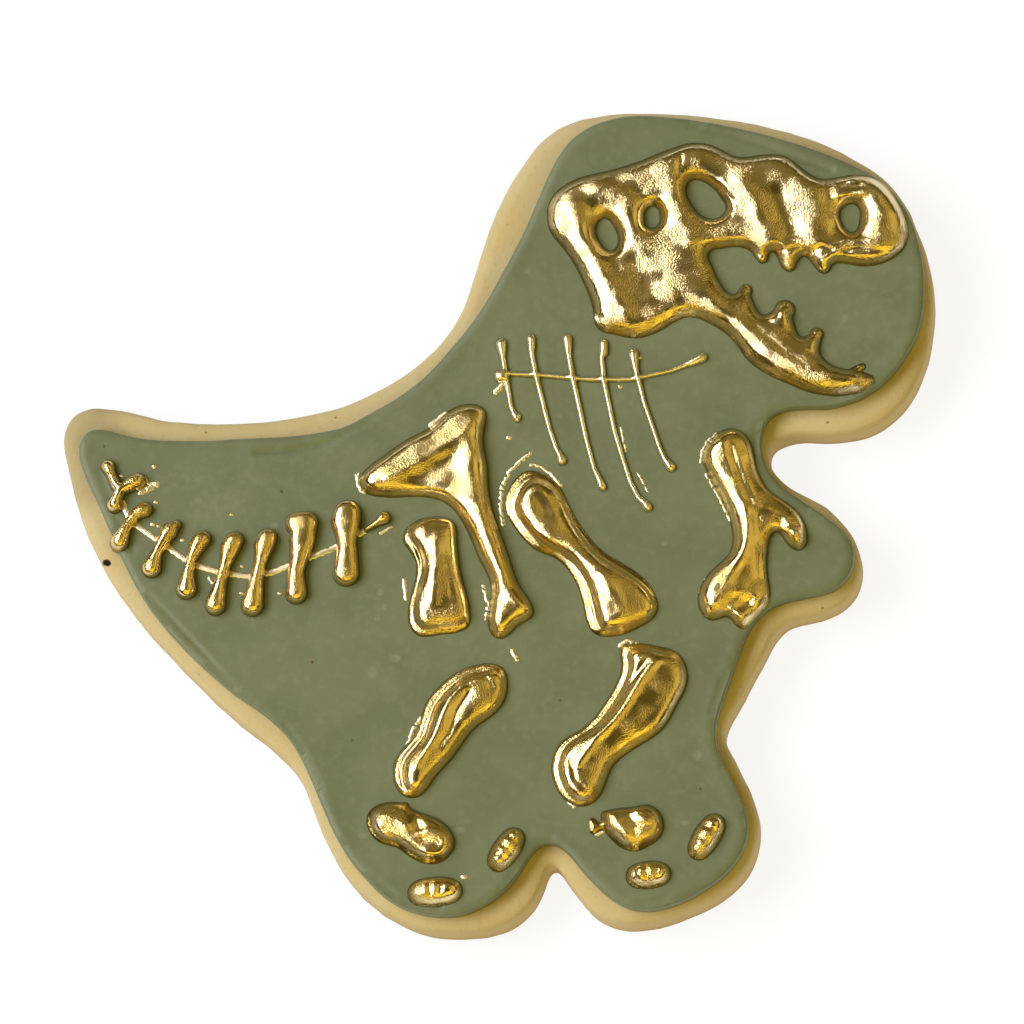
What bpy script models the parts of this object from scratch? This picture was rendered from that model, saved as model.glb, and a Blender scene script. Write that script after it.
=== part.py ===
"""A flat sugar cookie cut as a striding dinosaur, with flooded icing and piped gold bones.

The cookie lies on its baked underside. X runs from the tail to the nose, Y from the toes to
the crown of the head, and Z upwards. The origin is on the surface that the cookie rests on,
under the middle of it. All sizes are in metres.
"""
import math

import bmesh
import bpy
from mathutils import Vector
from mathutils.geometry import delaunay_2d_cdt, intersect_point_line

# Driving dimensions
LENGTH = 0.1000
WIDTH = 0.0957
BISCUIT_THICKNESS = 0.0065
BISCUIT_EDGE_RADIUS = 0.0015
ICING_THICKNESS = 0.0018
ICING_EDGE_RADIUS = 0.0007
BONE_FOOT = 0.0003
BONE_SHOULDER = 0.0014
BEAD_LIFT = 0.0001
LAYER_GAP = 0.0003

# Heights of the layers
ICING_BOTTOM = BISCUIT_THICKNESS + LAYER_GAP
ICING_TOP = ICING_BOTTOM + ICING_THICKNESS
BONE_BOTTOM = ICING_TOP + LAYER_GAP

# The outlines are drawn by hand on a grid, X to the right and Y downwards. The cookie spans this
# many squares of it. The grid leans a little, because it looks at the cookie from above its
# toes and slightly from the right.
SQUARES_LONG = 874
SQUARES_WIDE = 822
GRID_MIDDLE_X = 495
GRID_MIDDLE_Y = 517
GRID_LEAN = 0.008
SQUARE_X = LENGTH / SQUARES_LONG
SQUARE_Y = WIDTH / SQUARES_WIDE

# Outlines, clockwise on the grid
BISCUIT = [
    (98, 402), (76, 406), (62, 422), (60, 441), (65, 465), (71, 492), (84, 531), (103, 568),
    (131, 608), (166, 648), (230, 711), (284, 754), (302, 782), (316, 819), (342, 868),
    (377, 903), (421, 924), (465, 927), (505, 919), (531, 898), (543, 872), (551, 860),
    (562, 871), (587, 903), (610, 917), (645, 918), (695, 902), (737, 874), (756, 838),
    (753, 796), (729, 747), (722, 729), (737, 697), (765, 646), (782, 619), (806, 612),
    (837, 601), (856, 580), (858, 546), (844, 521), (820, 498), (799, 488), (782, 477),
    (767, 452), (777, 435), (823, 431), (863, 426), (896, 405), (917, 375), (930, 330),
    (932, 281), (919, 228), (894, 182), (848, 149), (788, 125), (718, 111), (648, 106),
    (588, 110), (550, 125), (525, 152), (498, 197), (481, 241), (464, 295), (448, 326),
    (416, 359), (370, 388), (313, 408), (238, 418), (163, 415), (133, 408),
]
ICING = [
    (94, 428), (82, 434), (77, 450), (82, 472), (97, 504), (120, 557), (139, 593), (164, 628),
    (230, 691), (280, 727), (307, 770), (335, 836), (369, 882), (399, 905), (451, 915),
    (483, 904), (508, 886), (524, 864), (536, 847), (549, 842), (562, 847), (579, 866),
    (604, 892), (631, 907), (659, 907), (700, 890), (729, 868), (746, 840), (746, 810),
    (720, 756), (715, 735), (719, 710), (731, 677), (750, 627), (773, 605), (799, 597),
    (828, 591), (846, 578), (854, 559), (851, 540), (834, 522), (802, 500), (777, 482),
    (763, 456), (764, 427), (772, 415), (789, 408), (825, 407), (856, 399), (885, 381),
    (908, 352), (921, 322), (925, 284), (921, 248), (908, 210), (886, 182), (849, 161),
    (799, 142), (739, 126), (689, 117), (639, 113), (609, 117), (582, 129), (563, 147),
    (548, 174), (528, 221), (503, 270), (477, 314), (450, 348), (415, 384), (370, 412),
    (335, 429), (249, 437), (149, 439), (119, 433),
]
SKULL = [
    (547, 215), (549, 201), (560, 187), (580, 176), (610, 169), (642, 159), (674, 146),
    (695, 141), (716, 145), (738, 156), (764, 153), (787, 155), (806, 170), (823, 178),
    (856, 173), (879, 179), (897, 198), (909, 225), (908, 243), (890, 260), (862, 266),
    (836, 262), (823, 273), (812, 262), (803, 255), (792, 271), (781, 265), (773, 250),
    (763, 263), (752, 251), (740, 246), (722, 248), (709, 252), (713, 265), (722, 284),
    (733, 294), (744, 288), (753, 298), (763, 315), (779, 306), (791, 311), (796, 327),
    (803, 337), (814, 331), (822, 334), (820, 353), (841, 368), (873, 374), (875, 384), (851, 394),
    (817, 394), (790, 384), (764, 372), (746, 358), (732, 338), (710, 323), (687, 316),
    (663, 329), (639, 338), (615, 334), (597, 328), (593, 307), (583, 281), (567, 252),
    (550, 231),
]
SKULL_HOLES = {
    "cheek": [(604, 217), (596, 228), (600, 240), (611, 250), (618, 242), (613, 224)],
    "temple": [(653, 204), (645, 222), (653, 227), (660, 220)],
    "eye": [(688, 181), (705, 181), (722, 198), (726, 210), (711, 218), (694, 206)],
    "nostril": [(843, 207), (857, 204), (860, 219), (853, 232), (841, 217)],
}
PELVIS = [
    (358, 484), (363, 471), (381, 457), (406, 439), (430, 427), (447, 411), (470, 403),
    (485, 409), (486, 421), (483, 440), (488, 465), (489, 490), (495, 516), (507, 549),
    (519, 585), (535, 614), (518, 625), (503, 639), (490, 633), (488, 612), (491, 585),
    (478, 558), (463, 523), (445, 502), (413, 496), (372, 496),
]
LOIN_BONE = [
    (402, 539), (410, 524), (440, 516), (455, 523), (457, 540), (461, 575), (471, 618),
    (466, 629), (440, 634), (418, 636), (408, 621), (411, 594), (417, 565), (408, 549),
]
THIGH_BONE = [
    (504, 508), (508, 490), (521, 473), (535, 470), (560, 486), (568, 503), (584, 530),
    (604, 552), (636, 571), (656, 595), (657, 613), (640, 627), (606, 637), (590, 630),
    (584, 608), (575, 580), (556, 558), (535, 550), (513, 525),
]
ARM_BONE = [
    (702, 453), (710, 439), (732, 427), (751, 440), (757, 467), (769, 490), (795, 507),
    (808, 535), (801, 551), (786, 543), (776, 531), (768, 548), (768, 578), (771, 604),
    (757, 624), (745, 631), (735, 625), (727, 616), (712, 621), (700, 611), (698, 592),
    (712, 569), (730, 552), (732, 530), (722, 499), (706, 470),
]
REAR_SHIN = [
    (461, 670), (475, 665), (500, 665), (508, 680), (500, 709), (474, 728), (455, 755),
    (435, 777), (420, 796), (404, 796), (393, 778), (397, 755), (416, 733), (424, 706),
    (441, 684),
]
REAR_FOOT_BONE = [
    (367, 814), (378, 804), (402, 802), (415, 810), (440, 819), (455, 838), (450, 855),
    (432, 864), (411, 857), (397, 847), (379, 842), (368, 829),
]
FRONT_SHIN = [
    (621, 647), (634, 643), (659, 646), (680, 654), (688, 680), (677, 704), (661, 731),
    (633, 749), (612, 766), (603, 790), (591, 804), (570, 804), (553, 780), (552, 760),
    (562, 740), (583, 728), (604, 704), (622, 668),
]
FRONT_ANKLE_BONE = [
    (600, 813), (608, 809), (633, 806), (651, 804), (663, 818), (661, 836), (647, 846),
    (633, 851), (612, 840),
]

# Toe bones: centre, half length and half width in grid squares, and turn in degrees
TOES = {
    "rear_toe_front": ((506, 849), 25, 14, 55),
    "rear_toe_lower": ((435, 891), 28, 15, 4),
    "front_toe_front": ((706, 836), 26, 14, 58),
    "front_toe_lower": ((648, 874), 23, 14, 6),
}

# Crown heights of the puffed bones above their own base
SKULL_CROWN = 0.0014
LARGE_BONE_CROWN = 0.0017
SMALL_BONE_CROWN = 0.0014

# Mesh of a puffed bone's top, in shares of its shoulder: two rings, and a lattice within them
FIRST_RING = 0.2
SECOND_RING = 0.6
LATTICE_SPACING = 1.1
LATTICE_MARGIN = 0.95

# A point of a ring is kept where this share of its inset is clear of the outline
RING_CLEARANCE = 0.9

# A toe bone is an oval of this many points, and an exponent under 1 makes it squarer
TOE_POINTS = 12
TOE_EXPONENT = 0.85

# Roundness: steps between two outline points, segments of a rounded edge, sections in degrees
# that close the end of a piped line, and the angle past which an edge is sharp
CURVE_STEPS = 2
EDGE_SEGMENTS = 2
BEAD_ANGLES = (78, 50, 22)
SHARP_ANGLE = math.radians(50)

# The block that cuts piped lines flat, and the distances within which points are the same
TRIM_HEIGHT = 0.01
WELD_DISTANCE = 1e-6
MEETING_DISTANCE = 1e-9

# Piped lines: (x, y, half width) in grid squares
RIB_STROKES = [
    [(498, 374, 4.6), (505, 373, 3.0), (545, 375, 3.0), (588, 379, 3.0), (631, 379, 3.0),
     (672, 370, 3.0), (694, 361, 3.4), (702, 356, 4.2)],
    [(500, 344, 4.8), (503, 358, 3.2), (506, 376, 3.4), (511, 407, 3.0), (517, 419, 3.8)],
    [(531, 339, 4.8), (532, 355, 3.4), (536, 375, 3.4), (549, 427, 3.0), (556, 448, 3.0),
     (563, 460, 4.2)],
    [(567, 338, 5.0), (569, 356, 3.4), (573, 378, 3.6), (586, 438, 3.0), (594, 468, 3.0),
     (603, 487, 4.2)],
    [(604, 344, 4.8), (602, 358, 3.2), (604, 380, 3.4), (615, 433, 3.0), (630, 481, 3.0),
     (638, 497, 3.2), (648, 506, 4.6)],
    [(633, 354, 5.0), (637, 373, 3.4), (644, 401, 3.0), (660, 448, 3.0), (666, 461, 3.6),
     (671, 466, 4.8)],
]
TAIL_STROKES = [
    [(108, 468, 5.4), (114, 484, 2.6), (118, 494, 3.0), (132, 516, 3.0), (150, 536, 2.6),
     (168, 551, 2.6), (196, 567, 2.6), (234, 577, 2.6), (270, 576, 2.6), (296, 563, 2.8),
     (336, 547, 2.8), (364, 534, 3.0), (382, 520, 6.0)],
    [(136, 482, 6.6), (127, 487, 6.6), (117, 495, 5.0), (112, 504, 6.6)],
    [(146, 512, 5.6), (137, 513, 6.6), (129, 522, 4.6), (117, 543, 7.6)],
    [(174, 528, 4.4), (167, 540, 7.6), (159, 553, 6.4), (153, 569, 8.6)],
    [(202, 546, 7.6), (194, 560, 7.4), (189, 574, 5.6), (188, 590, 8.6)],
    [(233, 546, 8.0), (228, 563, 7.4), (222, 585, 7.4), (217, 606, 8.0)],
    [(266, 545, 8.6), (262, 563, 8.4), (257, 585, 7.4), (255, 606, 9.2)],
    [(301, 527, 12.4), (301, 548, 12.8), (298, 571, 9.6), (297, 591, 10.6)],
    [(345, 519, 13.6), (347, 536, 11.8), (347, 556, 10.4), (348, 573, 10.6)],
]

# Colours, linear
BISCUIT_COLOUR = (0.62, 0.47, 0.25, 1.0)
ICING_COLOUR = (0.19, 0.22, 0.12, 1.0)
GOLD_COLOUR = (0.80, 0.52, 0.14, 1.0)


def clear_scene():
    for item in list(bpy.data.objects):
        bpy.data.objects.remove(item, do_unlink=True)


def finish(name, colour, roughness, metallic):
    """Return a Principled material of one colour."""
    surface = bpy.data.materials.new(name)
    surface.use_nodes = True
    shader = surface.node_tree.nodes["Principled BSDF"]
    shader.inputs["Base Color"].default_value = colour
    shader.inputs["Roughness"].default_value = roughness
    shader.inputs["Metallic"].default_value = metallic
    return surface


def drawn(point):
    """Turn a point of the grid into metres from the middle of the cookie."""
    across = point[0] - GRID_MIDDLE_X
    down = point[1] - GRID_MIDDLE_Y
    return Vector((
        (across + GRID_LEAN * down) * SQUARE_X,
        -(down + GRID_LEAN * across) * SQUARE_Y,
    ))


def outline_curve(name, loops):
    """Return a flat curve whose closed splines run smoothly through the points of the loops."""
    data = bpy.data.curves.new(name, "CURVE")
    data.dimensions = "2D"
    data.resolution_u = CURVE_STEPS
    for loop in loops:
        spline = data.splines.new("BEZIER")
        spline.use_cyclic_u = True
        spline.bezier_points.add(len(loop) - 1)
        for knot, point in zip(spline.bezier_points, loop):
            knot.co = (*drawn(point), 0.0)
            knot.handle_left_type = "AUTO"
            knot.handle_right_type = "AUTO"
    return bpy.data.objects.new(name, data)


def outline_corners(loops):
    """Return the corners of each smooth loop, read from its curve."""
    guide = outline_curve("guide", loops)
    bpy.context.scene.collection.objects.link(guide)
    depsgraph = bpy.context.evaluated_depsgraph_get()
    mesh = bpy.data.meshes.new_from_object(guide.evaluated_get(depsgraph))
    corners = [vertex.co.to_2d() for vertex in mesh.vertices]
    bpy.data.objects.remove(guide)
    bpy.data.meshes.remove(mesh)
    result = []
    for loop in loops:
        count = len(loop) * CURVE_STEPS
        result.append(corners[:count])
        corners = corners[count:]
    return result


def slab(name, outline, bottom, thickness, edge_radius, surface):
    """Return a flat layer with rounded edges, as a filled curve."""
    layer = outline_curve(name, [outline])
    layer.data.fill_mode = "BOTH"
    layer.data.bevel_depth = edge_radius
    layer.data.bevel_resolution = EDGE_SEGMENTS
    layer.data.offset = -edge_radius
    layer.data.extrude = thickness / 2 - edge_radius
    layer.location.z = bottom + thickness / 2
    layer.data.materials.append(surface)
    return layer


def sides(loops):
    """Yield each edge of each loop."""
    for loop in loops:
        for start, end in zip(loop, loop[1:] + loop[:1]):
            yield start, end


def is_inside(point, loops):
    """Say whether a point is within the outer loop and in none of the holes."""
    crossings = 0
    for start, end in sides(loops):
        if (start.y > point.y) != (end.y > point.y):
            share = (point.y - start.y) / (end.y - start.y)
            crossings += point.x < start.x + share * (end.x - start.x)
    return crossings % 2 == 1


def edge_distance(point, loops):
    """Return how far a point is from the nearest edge of the loops."""
    nearest = math.inf
    for start, end in sides(loops):
        foot, share = intersect_point_line(point, start, end)
        if share < 0:
            foot = start
        elif share > 1:
            foot = end
        nearest = min(nearest, (point - foot.to_2d()).length)
    return nearest


def inset_points(loops, inset, stride):
    """Return every corner, or every second one, moved inwards from the edge by the inset."""
    points = []
    for loop in loops:
        for place in range(0, len(loop), stride):
            before = loop[place - 1]
            after = loop[(place + 1) % len(loop)]
            along = (after - before).normalized()
            for inward in (Vector((along.y, -along.x)), Vector((-along.y, along.x))):
                point = loop[place] + inward * inset
                clearance = edge_distance(point, loops)
                if is_inside(point, loops) and clearance > inset * RING_CLEARANCE:
                    points.append(point)
    return points


def field_points(loops, spacing, margin):
    """Return the points of a triangular lattice that lie well within the loops."""
    left = min(corner.x for corner in loops[0])
    right = max(corner.x for corner in loops[0])
    low = min(corner.y for corner in loops[0])
    high = max(corner.y for corner in loops[0])
    row_height = spacing * math.sqrt(3) / 2
    points = []
    for row in range(int((high - low) / row_height) + 1):
        shift = spacing / 2 * (row % 2)
        for column in range(int((right - left) / spacing) + 1):
            point = Vector((left + shift + column * spacing, low + row * row_height))
            if is_inside(point, loops) and edge_distance(point, loops) > margin:
                points.append(point)
    return points


def triangles_inside(loops, extra):
    """Triangulate the area within the loops, using the extra points too."""
    points = [corner for loop in loops for corner in loop] + extra
    edges = []
    start = 0
    for loop in loops:
        edges += [(start + place, start + (place + 1) % len(loop)) for place in range(len(loop))]
        start += len(loop)
    corners, _, faces, _, _, _ = delaunay_2d_cdt(points, edges, [], 0, MEETING_DISTANCE)
    kept = []
    for face in faces:
        middle = sum((corners[index] for index in face), Vector((0, 0))) / 3
        if is_inside(middle, loops):
            kept.append(face)
    return corners, kept


def puffed(name, outline, crown, surface, holes=()):
    """Return a piped bone: flat below, with a low upright foot and a cushioned top."""
    loops = outline_corners([outline, *holes])
    extra = inset_points(loops, BONE_SHOULDER * FIRST_RING, stride=1)
    extra += inset_points(loops, BONE_SHOULDER * SECOND_RING, stride=2)
    extra += field_points(loops, BONE_SHOULDER * LATTICE_SPACING, BONE_SHOULDER * LATTICE_MARGIN)
    top_corners, top_faces = triangles_inside(loops, extra)
    base_corners, base_faces = triangles_inside(loops, [])
    rim = sum(len(loop) for loop in loops)

    form = bmesh.new()
    top = []
    for place, corner in enumerate(top_corners):
        share = 0.0 if place < rim else min(edge_distance(corner, loops) / BONE_SHOULDER, 1.0)
        swell = math.sqrt(1 - (1 - share) ** 2)
        height = BONE_FOOT + (crown - BONE_FOOT) * swell
        top.append(form.verts.new((*corner, BONE_BOTTOM + height)))
    base = [form.verts.new((*corner, BONE_BOTTOM)) for corner in base_corners]
    for face in top_faces:
        form.faces.new([top[index] for index in face])
    for face in base_faces:
        form.faces.new([base[index] for index in reversed(face)])
    start = 0
    for loop in loops:
        for place in range(len(loop)):
            here = start + place
            onward = start + (place + 1) % len(loop)
            form.faces.new((base[here], base[onward], top[onward], top[here]))
        start += len(loop)
    bmesh.ops.recalc_face_normals(form, faces=form.faces)
    return solid_from(form, name, surface)


def solid_from(form, name, surface):
    """Turn a bmesh into a smooth-shaded object."""
    mesh = bpy.data.meshes.new(name)
    form.to_mesh(mesh)
    form.free()
    mesh.shade_smooth()
    mesh.set_sharp_from_angle(angle=SHARP_ANGLE)
    mesh.materials.append(surface)
    return bpy.data.objects.new(name, mesh)


def toe_outline(centre, half_length, half_width, turn):
    """Return the points of a rounded bean, turned anticlockwise by the angle in degrees."""
    def squared(value):
        return math.copysign(abs(value) ** TOE_EXPONENT, value)

    points = []
    angle = math.radians(turn)
    for place in range(TOE_POINTS):
        around = 2 * math.pi * place / TOE_POINTS
        along = half_length * squared(math.cos(around))
        aside = half_width * squared(math.sin(around))
        points.append((
            centre[0] + along * math.cos(angle) - aside * math.sin(angle),
            centre[1] - along * math.sin(angle) - aside * math.cos(angle),
        ))
    return points


def rounded_ends(stroke):
    """Add the small sections that close both ends of a piped line like a bead."""
    def bead(end, neighbour):
        centre = drawn(end)
        outward = (centre - drawn(neighbour)).normalized()
        radius = end[2] * SQUARE_X
        sections = []
        for degrees in BEAD_ANGLES:
            angle = math.radians(degrees)
            place = centre + outward * radius * math.sin(angle)
            sections.append((place, radius * math.cos(angle)))
        return sections

    body = [(drawn(point), point[2] * SQUARE_X) for point in stroke]
    return bead(stroke[0], stroke[1]) + body + bead(stroke[-1], stroke[-2])[::-1]


def piped_line(name, stroke):
    """Return one piped line as a closed tube mesh of varying width.

    With a bevel depth of 1, the radius of each point is the tube's radius in metres.
    """
    sections = rounded_ends(stroke)
    data = bpy.data.curves.new(name, "CURVE")
    data.dimensions = "3D"
    data.bevel_depth = 1.0
    data.bevel_resolution = EDGE_SEGMENTS
    data.use_fill_caps = True
    spline = data.splines.new("POLY")
    spline.points.add(len(sections) - 1)
    for knot, (place, radius) in zip(spline.points, sections):
        knot.co = (*place, BONE_BOTTOM + BEAD_LIFT, 1.0)
        knot.radius = radius
    line = bpy.data.objects.new(name, data)
    bpy.context.scene.collection.objects.link(line)
    depsgraph = bpy.context.evaluated_depsgraph_get()
    mesh = bpy.data.meshes.new_from_object(line.evaluated_get(depsgraph))
    bpy.data.objects.remove(line)
    form = bmesh.new()
    form.from_mesh(mesh)
    bmesh.ops.remove_doubles(form, verts=form.verts, dist=WELD_DISTANCE)
    form.to_mesh(mesh)
    form.free()
    return bpy.data.objects.new(name, mesh)


def piped_group(name, strokes, surface):
    """Join crossing piped lines into one solid, cut flat where it lies on the icing."""
    lines = [piped_line(f"{name}_line_{place}", stroke) for place, stroke in enumerate(strokes)]
    body = lines[0]
    body.name = name
    others = bpy.data.collections.new(name + "_lines")
    for line in lines[1:]:
        others.objects.link(line)
    bpy.context.scene.collection.objects.link(body)

    bpy.ops.mesh.primitive_cube_add(size=1.0)
    trim = bpy.context.object
    trim.name = name + "_trim"
    trim.scale = (LENGTH * 2, WIDTH * 2, TRIM_HEIGHT)
    trim.location.z = BONE_BOTTOM - TRIM_HEIGHT / 2

    join = body.modifiers.new("join", "BOOLEAN")
    join.operation = "UNION"
    join.operand_type = "COLLECTION"
    join.collection = others
    join.solver = "EXACT"
    flatten = body.modifiers.new("flatten", "BOOLEAN")
    flatten.operation = "DIFFERENCE"
    flatten.object = trim
    flatten.solver = "EXACT"

    depsgraph = bpy.context.evaluated_depsgraph_get()
    mesh = bpy.data.meshes.new_from_object(body.evaluated_get(depsgraph))
    for item in [*lines, trim]:
        bpy.data.objects.remove(item)
    bpy.data.collections.remove(others)
    mesh.name = name
    mesh.shade_smooth()
    mesh.set_sharp_from_angle(angle=SHARP_ANGLE)
    mesh.materials.clear()
    mesh.materials.append(surface)
    return bpy.data.objects.new(name, mesh)


def build():
    clear_scene()
    baked = finish("baked_dough", BISCUIT_COLOUR, roughness=0.85, metallic=0.0)
    sugar = finish("flooded_icing", ICING_COLOUR, roughness=0.45, metallic=0.0)
    gold = finish("gold_paint", GOLD_COLOUR, roughness=0.22, metallic=1.0)

    pieces = [
        slab("biscuit", BISCUIT, 0.0, BISCUIT_THICKNESS, BISCUIT_EDGE_RADIUS, baked),
        slab("icing", ICING, ICING_BOTTOM, ICING_THICKNESS, ICING_EDGE_RADIUS, sugar),
        puffed("skull", SKULL, SKULL_CROWN, gold, holes=SKULL_HOLES.values()),
        puffed("pelvis", PELVIS, LARGE_BONE_CROWN, gold),
        puffed("loin_bone", LOIN_BONE, LARGE_BONE_CROWN, gold),
        puffed("thigh_bone", THIGH_BONE, LARGE_BONE_CROWN, gold),
        puffed("arm_bone", ARM_BONE, LARGE_BONE_CROWN, gold),
        puffed("rear_shin", REAR_SHIN, LARGE_BONE_CROWN, gold),
        puffed("rear_foot_bone", REAR_FOOT_BONE, SMALL_BONE_CROWN, gold),
        puffed("front_shin", FRONT_SHIN, LARGE_BONE_CROWN, gold),
        puffed("front_ankle_bone", FRONT_ANKLE_BONE, SMALL_BONE_CROWN, gold),
    ]
    for name, (centre, half_length, half_width, turn) in TOES.items():
        outline = toe_outline(centre, half_length, half_width, turn)
        pieces.append(puffed(name, outline, SMALL_BONE_CROWN, gold))
    pieces.append(piped_group("ribs", RIB_STROKES, gold))
    pieces.append(piped_group("tail_bones", TAIL_STROKES, gold))

    cookie = bpy.data.collections.new("dinosaur_cookie")
    bpy.context.scene.collection.children.link(cookie)
    root = bpy.data.objects.new("cookie_root", None)
    cookie.objects.link(root)
    for piece in pieces:
        cookie.objects.link(piece)
        piece.parent = root


build()
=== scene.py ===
"""Looks of a flat sugar cookie cut as a striding dinosaur, with sage icing and piped gold bones.

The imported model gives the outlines, apart from the vertebrae, which are drawn here. Each piece is
modelled anew inside its own solid: the bones as relief that is raised from a fine grid, the icing
and the biscuit as slabs with soft edges. Lengths are in metres. Places on the figure are squares
of a drawing grid, as the constants say. What is set by eye was compared with the photograph.
"""

import functools
import math

import bmesh
import bpy
import numpy as np
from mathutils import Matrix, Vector, noise


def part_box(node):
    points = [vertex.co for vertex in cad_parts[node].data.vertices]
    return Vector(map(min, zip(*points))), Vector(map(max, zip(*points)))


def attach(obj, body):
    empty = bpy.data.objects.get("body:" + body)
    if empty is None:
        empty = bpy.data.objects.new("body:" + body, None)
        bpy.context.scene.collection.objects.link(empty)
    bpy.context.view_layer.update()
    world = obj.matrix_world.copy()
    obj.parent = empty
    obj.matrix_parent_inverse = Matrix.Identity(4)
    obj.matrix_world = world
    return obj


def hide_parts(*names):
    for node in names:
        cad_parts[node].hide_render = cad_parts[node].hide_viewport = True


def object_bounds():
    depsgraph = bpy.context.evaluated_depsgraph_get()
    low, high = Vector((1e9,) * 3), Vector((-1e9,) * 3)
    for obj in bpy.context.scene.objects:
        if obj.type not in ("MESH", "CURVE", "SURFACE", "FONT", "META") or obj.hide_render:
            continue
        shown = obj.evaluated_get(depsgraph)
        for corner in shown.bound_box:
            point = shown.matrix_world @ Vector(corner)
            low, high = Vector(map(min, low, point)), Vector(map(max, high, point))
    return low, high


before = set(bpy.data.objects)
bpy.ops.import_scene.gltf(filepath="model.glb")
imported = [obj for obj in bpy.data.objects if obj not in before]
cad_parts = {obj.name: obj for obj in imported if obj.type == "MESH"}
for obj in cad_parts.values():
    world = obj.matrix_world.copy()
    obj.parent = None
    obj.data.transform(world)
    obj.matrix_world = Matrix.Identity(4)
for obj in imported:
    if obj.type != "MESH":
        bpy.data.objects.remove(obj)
cad_low, cad_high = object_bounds()

# The drawing grid: X to the right and Y downwards, its middle over the middle of the cookie
GRID_MIDDLE_X = 495
GRID_MIDDLE_Y = 517
GRID_LEAN = 0.008
SQUARE_X = 0.1000 / 874
SQUARE_Y = 0.0957 / 822
SQUARE = (SQUARE_X + SQUARE_Y) / 2

# Heights of the layers, which touch here where the solids keep a gap
BISCUIT_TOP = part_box("biscuit")[1].z
ICING_TOP = 0.00848
ICING_FOOT = BISCUIT_TOP - 0.0010
HIGHEST = cad_high.z - 0.00001

# How deep a bone's skin dips into the icing at its border, the share of that depth at which it is
# cut off, and how deep its closed base lies
BONE_SUNK = 0.0003
BONE_CUT = 0.9
BONE_ROOT = 0.0012

# Heights at which the solids of the biscuit and the icing have their full outlines
BISCUIT_CUT = 0.0015
ICING_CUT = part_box("icing")[0].z + 0.0007

# How near a point is taken to be at such a height, how near two points are taken to be one, and
# the share of an edge that each cut corner takes
LEVEL_MARGIN = 5e-6
MERGE_DISTANCE = 1e-6
CORNER_CUT = 0.25

# Edge rounding of the two slabs, and how far the arm bone keeps within the icing's outline
ICING_ROUND = 0.00042
BISCUIT_ROUND = 0.0013
ARM_INSET = ICING_ROUND * 0.4

# 0.5 gives a core steep round walls, and 1 gives it straight sloping ones
WALL_SHAPE = 0.66
LINE_SHAPE = 0.5

# Grid spacing of each kind of surface, and the digits by which a grid's points are sorted
BISCUIT_SPACING = 0.00042
ICING_SPACING = 0.00028
BONE_SPACING = 0.00010
LINE_SPACING = 0.00007
GRID_DIGITS = 7

# Waves summed for an uneven surface: their number, the share of each and their stretch
WAVE_COUNT = 14
WAVE_SHARE = 0.11
WAVE_STRETCH = (1.1, 2.4)

# Rounds of averaging that blow up a skin: for each cell of its reach, and in any case
SKIN_ROUNDS = 6
SKIN_ROUNDS_LEAST = 120

# Angles in degrees up to which edges are shaded smooth
SLAB_SMOOTH = 40
GOLD_SMOOTH = 60

# Small numbers that keep a division from failing, and a small step sideways
SLOPE_GUARD = 1e-9
WAY_GUARD = 1e-12
NUDGE = 0.00002


def drawn(x, y):
    """Turn a place on the drawing grid into metres from the middle of the cookie."""
    across = x - GRID_MIDDLE_X
    down = y - GRID_MIDDLE_Y
    return (
        (across + GRID_LEAN * down) * SQUARE_X,
        -(down + GRID_LEAN * across) * SQUARE_Y,
    )


def deselect():
    for item in bpy.context.selected_objects:
        item.select_set(False)


def pick(piece):
    """Make a piece the only selected one, and the active one."""
    deselect()
    piece.select_set(True)
    bpy.context.view_layer.objects.active = piece


def edit(piece, kind):
    """Open a piece in edit mode, with none of its points, edges or faces selected."""
    pick(piece)
    bpy.ops.object.mode_set(mode="EDIT")
    bpy.ops.mesh.select_mode(type=kind)
    bpy.ops.mesh.select_all(action="DESELECT")


def outline_of(node, level, rounds):
    """Return the closed outlines of a solid at a height, each corner cut so many times over."""
    form = bmesh.new()
    form.from_mesh(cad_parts[node].data)
    bmesh.ops.remove_doubles(form, verts=form.verts, dist=MERGE_DISTANCE)

    def at_level(vertex):
        return abs(vertex.co.z - level) < LEVEL_MARGIN

    beside = {}
    for edge in form.edges:
        if all(at_level(vertex) for vertex in edge.verts):
            flat = [face for face in edge.link_faces if all(map(at_level, face.verts))]
            if len(flat) < 2:
                start, end = edge.verts
                beside.setdefault(start.index, []).append(end.index)
                beside.setdefault(end.index, []).append(start.index)
    form.verts.ensure_lookup_table()
    loops = []
    left = set(beside)
    while left:
        here = min(left)
        loop = []
        while here is not None:
            left.discard(here)
            loop.append(form.verts[here].co[:2])
            here = next((other for other in beside[here] if other in left), None)
        loops.append(np.array(loop))
    form.free()
    for _ in range(rounds):
        loops = [cut_corners(loop) for loop in loops]
    return loops


def cut_corners(loop):
    """Return a loop with each corner replaced by two points on the edges beside it."""
    onward = np.roll(loop, -1, axis=0)
    near = loop * (1 - CORNER_CUT) + onward * CORNER_CUT
    far = loop * CORNER_CUT + onward * (1 - CORNER_CUT)
    return np.stack([near, far], axis=1).reshape(-1, 2)


def extent(loops, margin):
    """Return the lower and the upper corner of the outlines, with a margin around them."""
    low = np.min([loop.min(axis=0) for loop in loops], axis=0) - margin
    high = np.max([loop.max(axis=0) for loop in loops], axis=0) + margin
    return low, high


def from_segment(x, y, start, end):
    """Return each point's share of the way along a segment, and its X and Y offset from it."""
    along_x = end[0] - start[0]
    along_y = end[1] - start[1]
    length = along_x ** 2 + along_y ** 2 or 1.0
    share = np.clip(((x - start[0]) * along_x + (y - start[1]) * along_y) / length, 0, 1)
    return share, x - start[0] - share * along_x, y - start[1] - share * along_y


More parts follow.
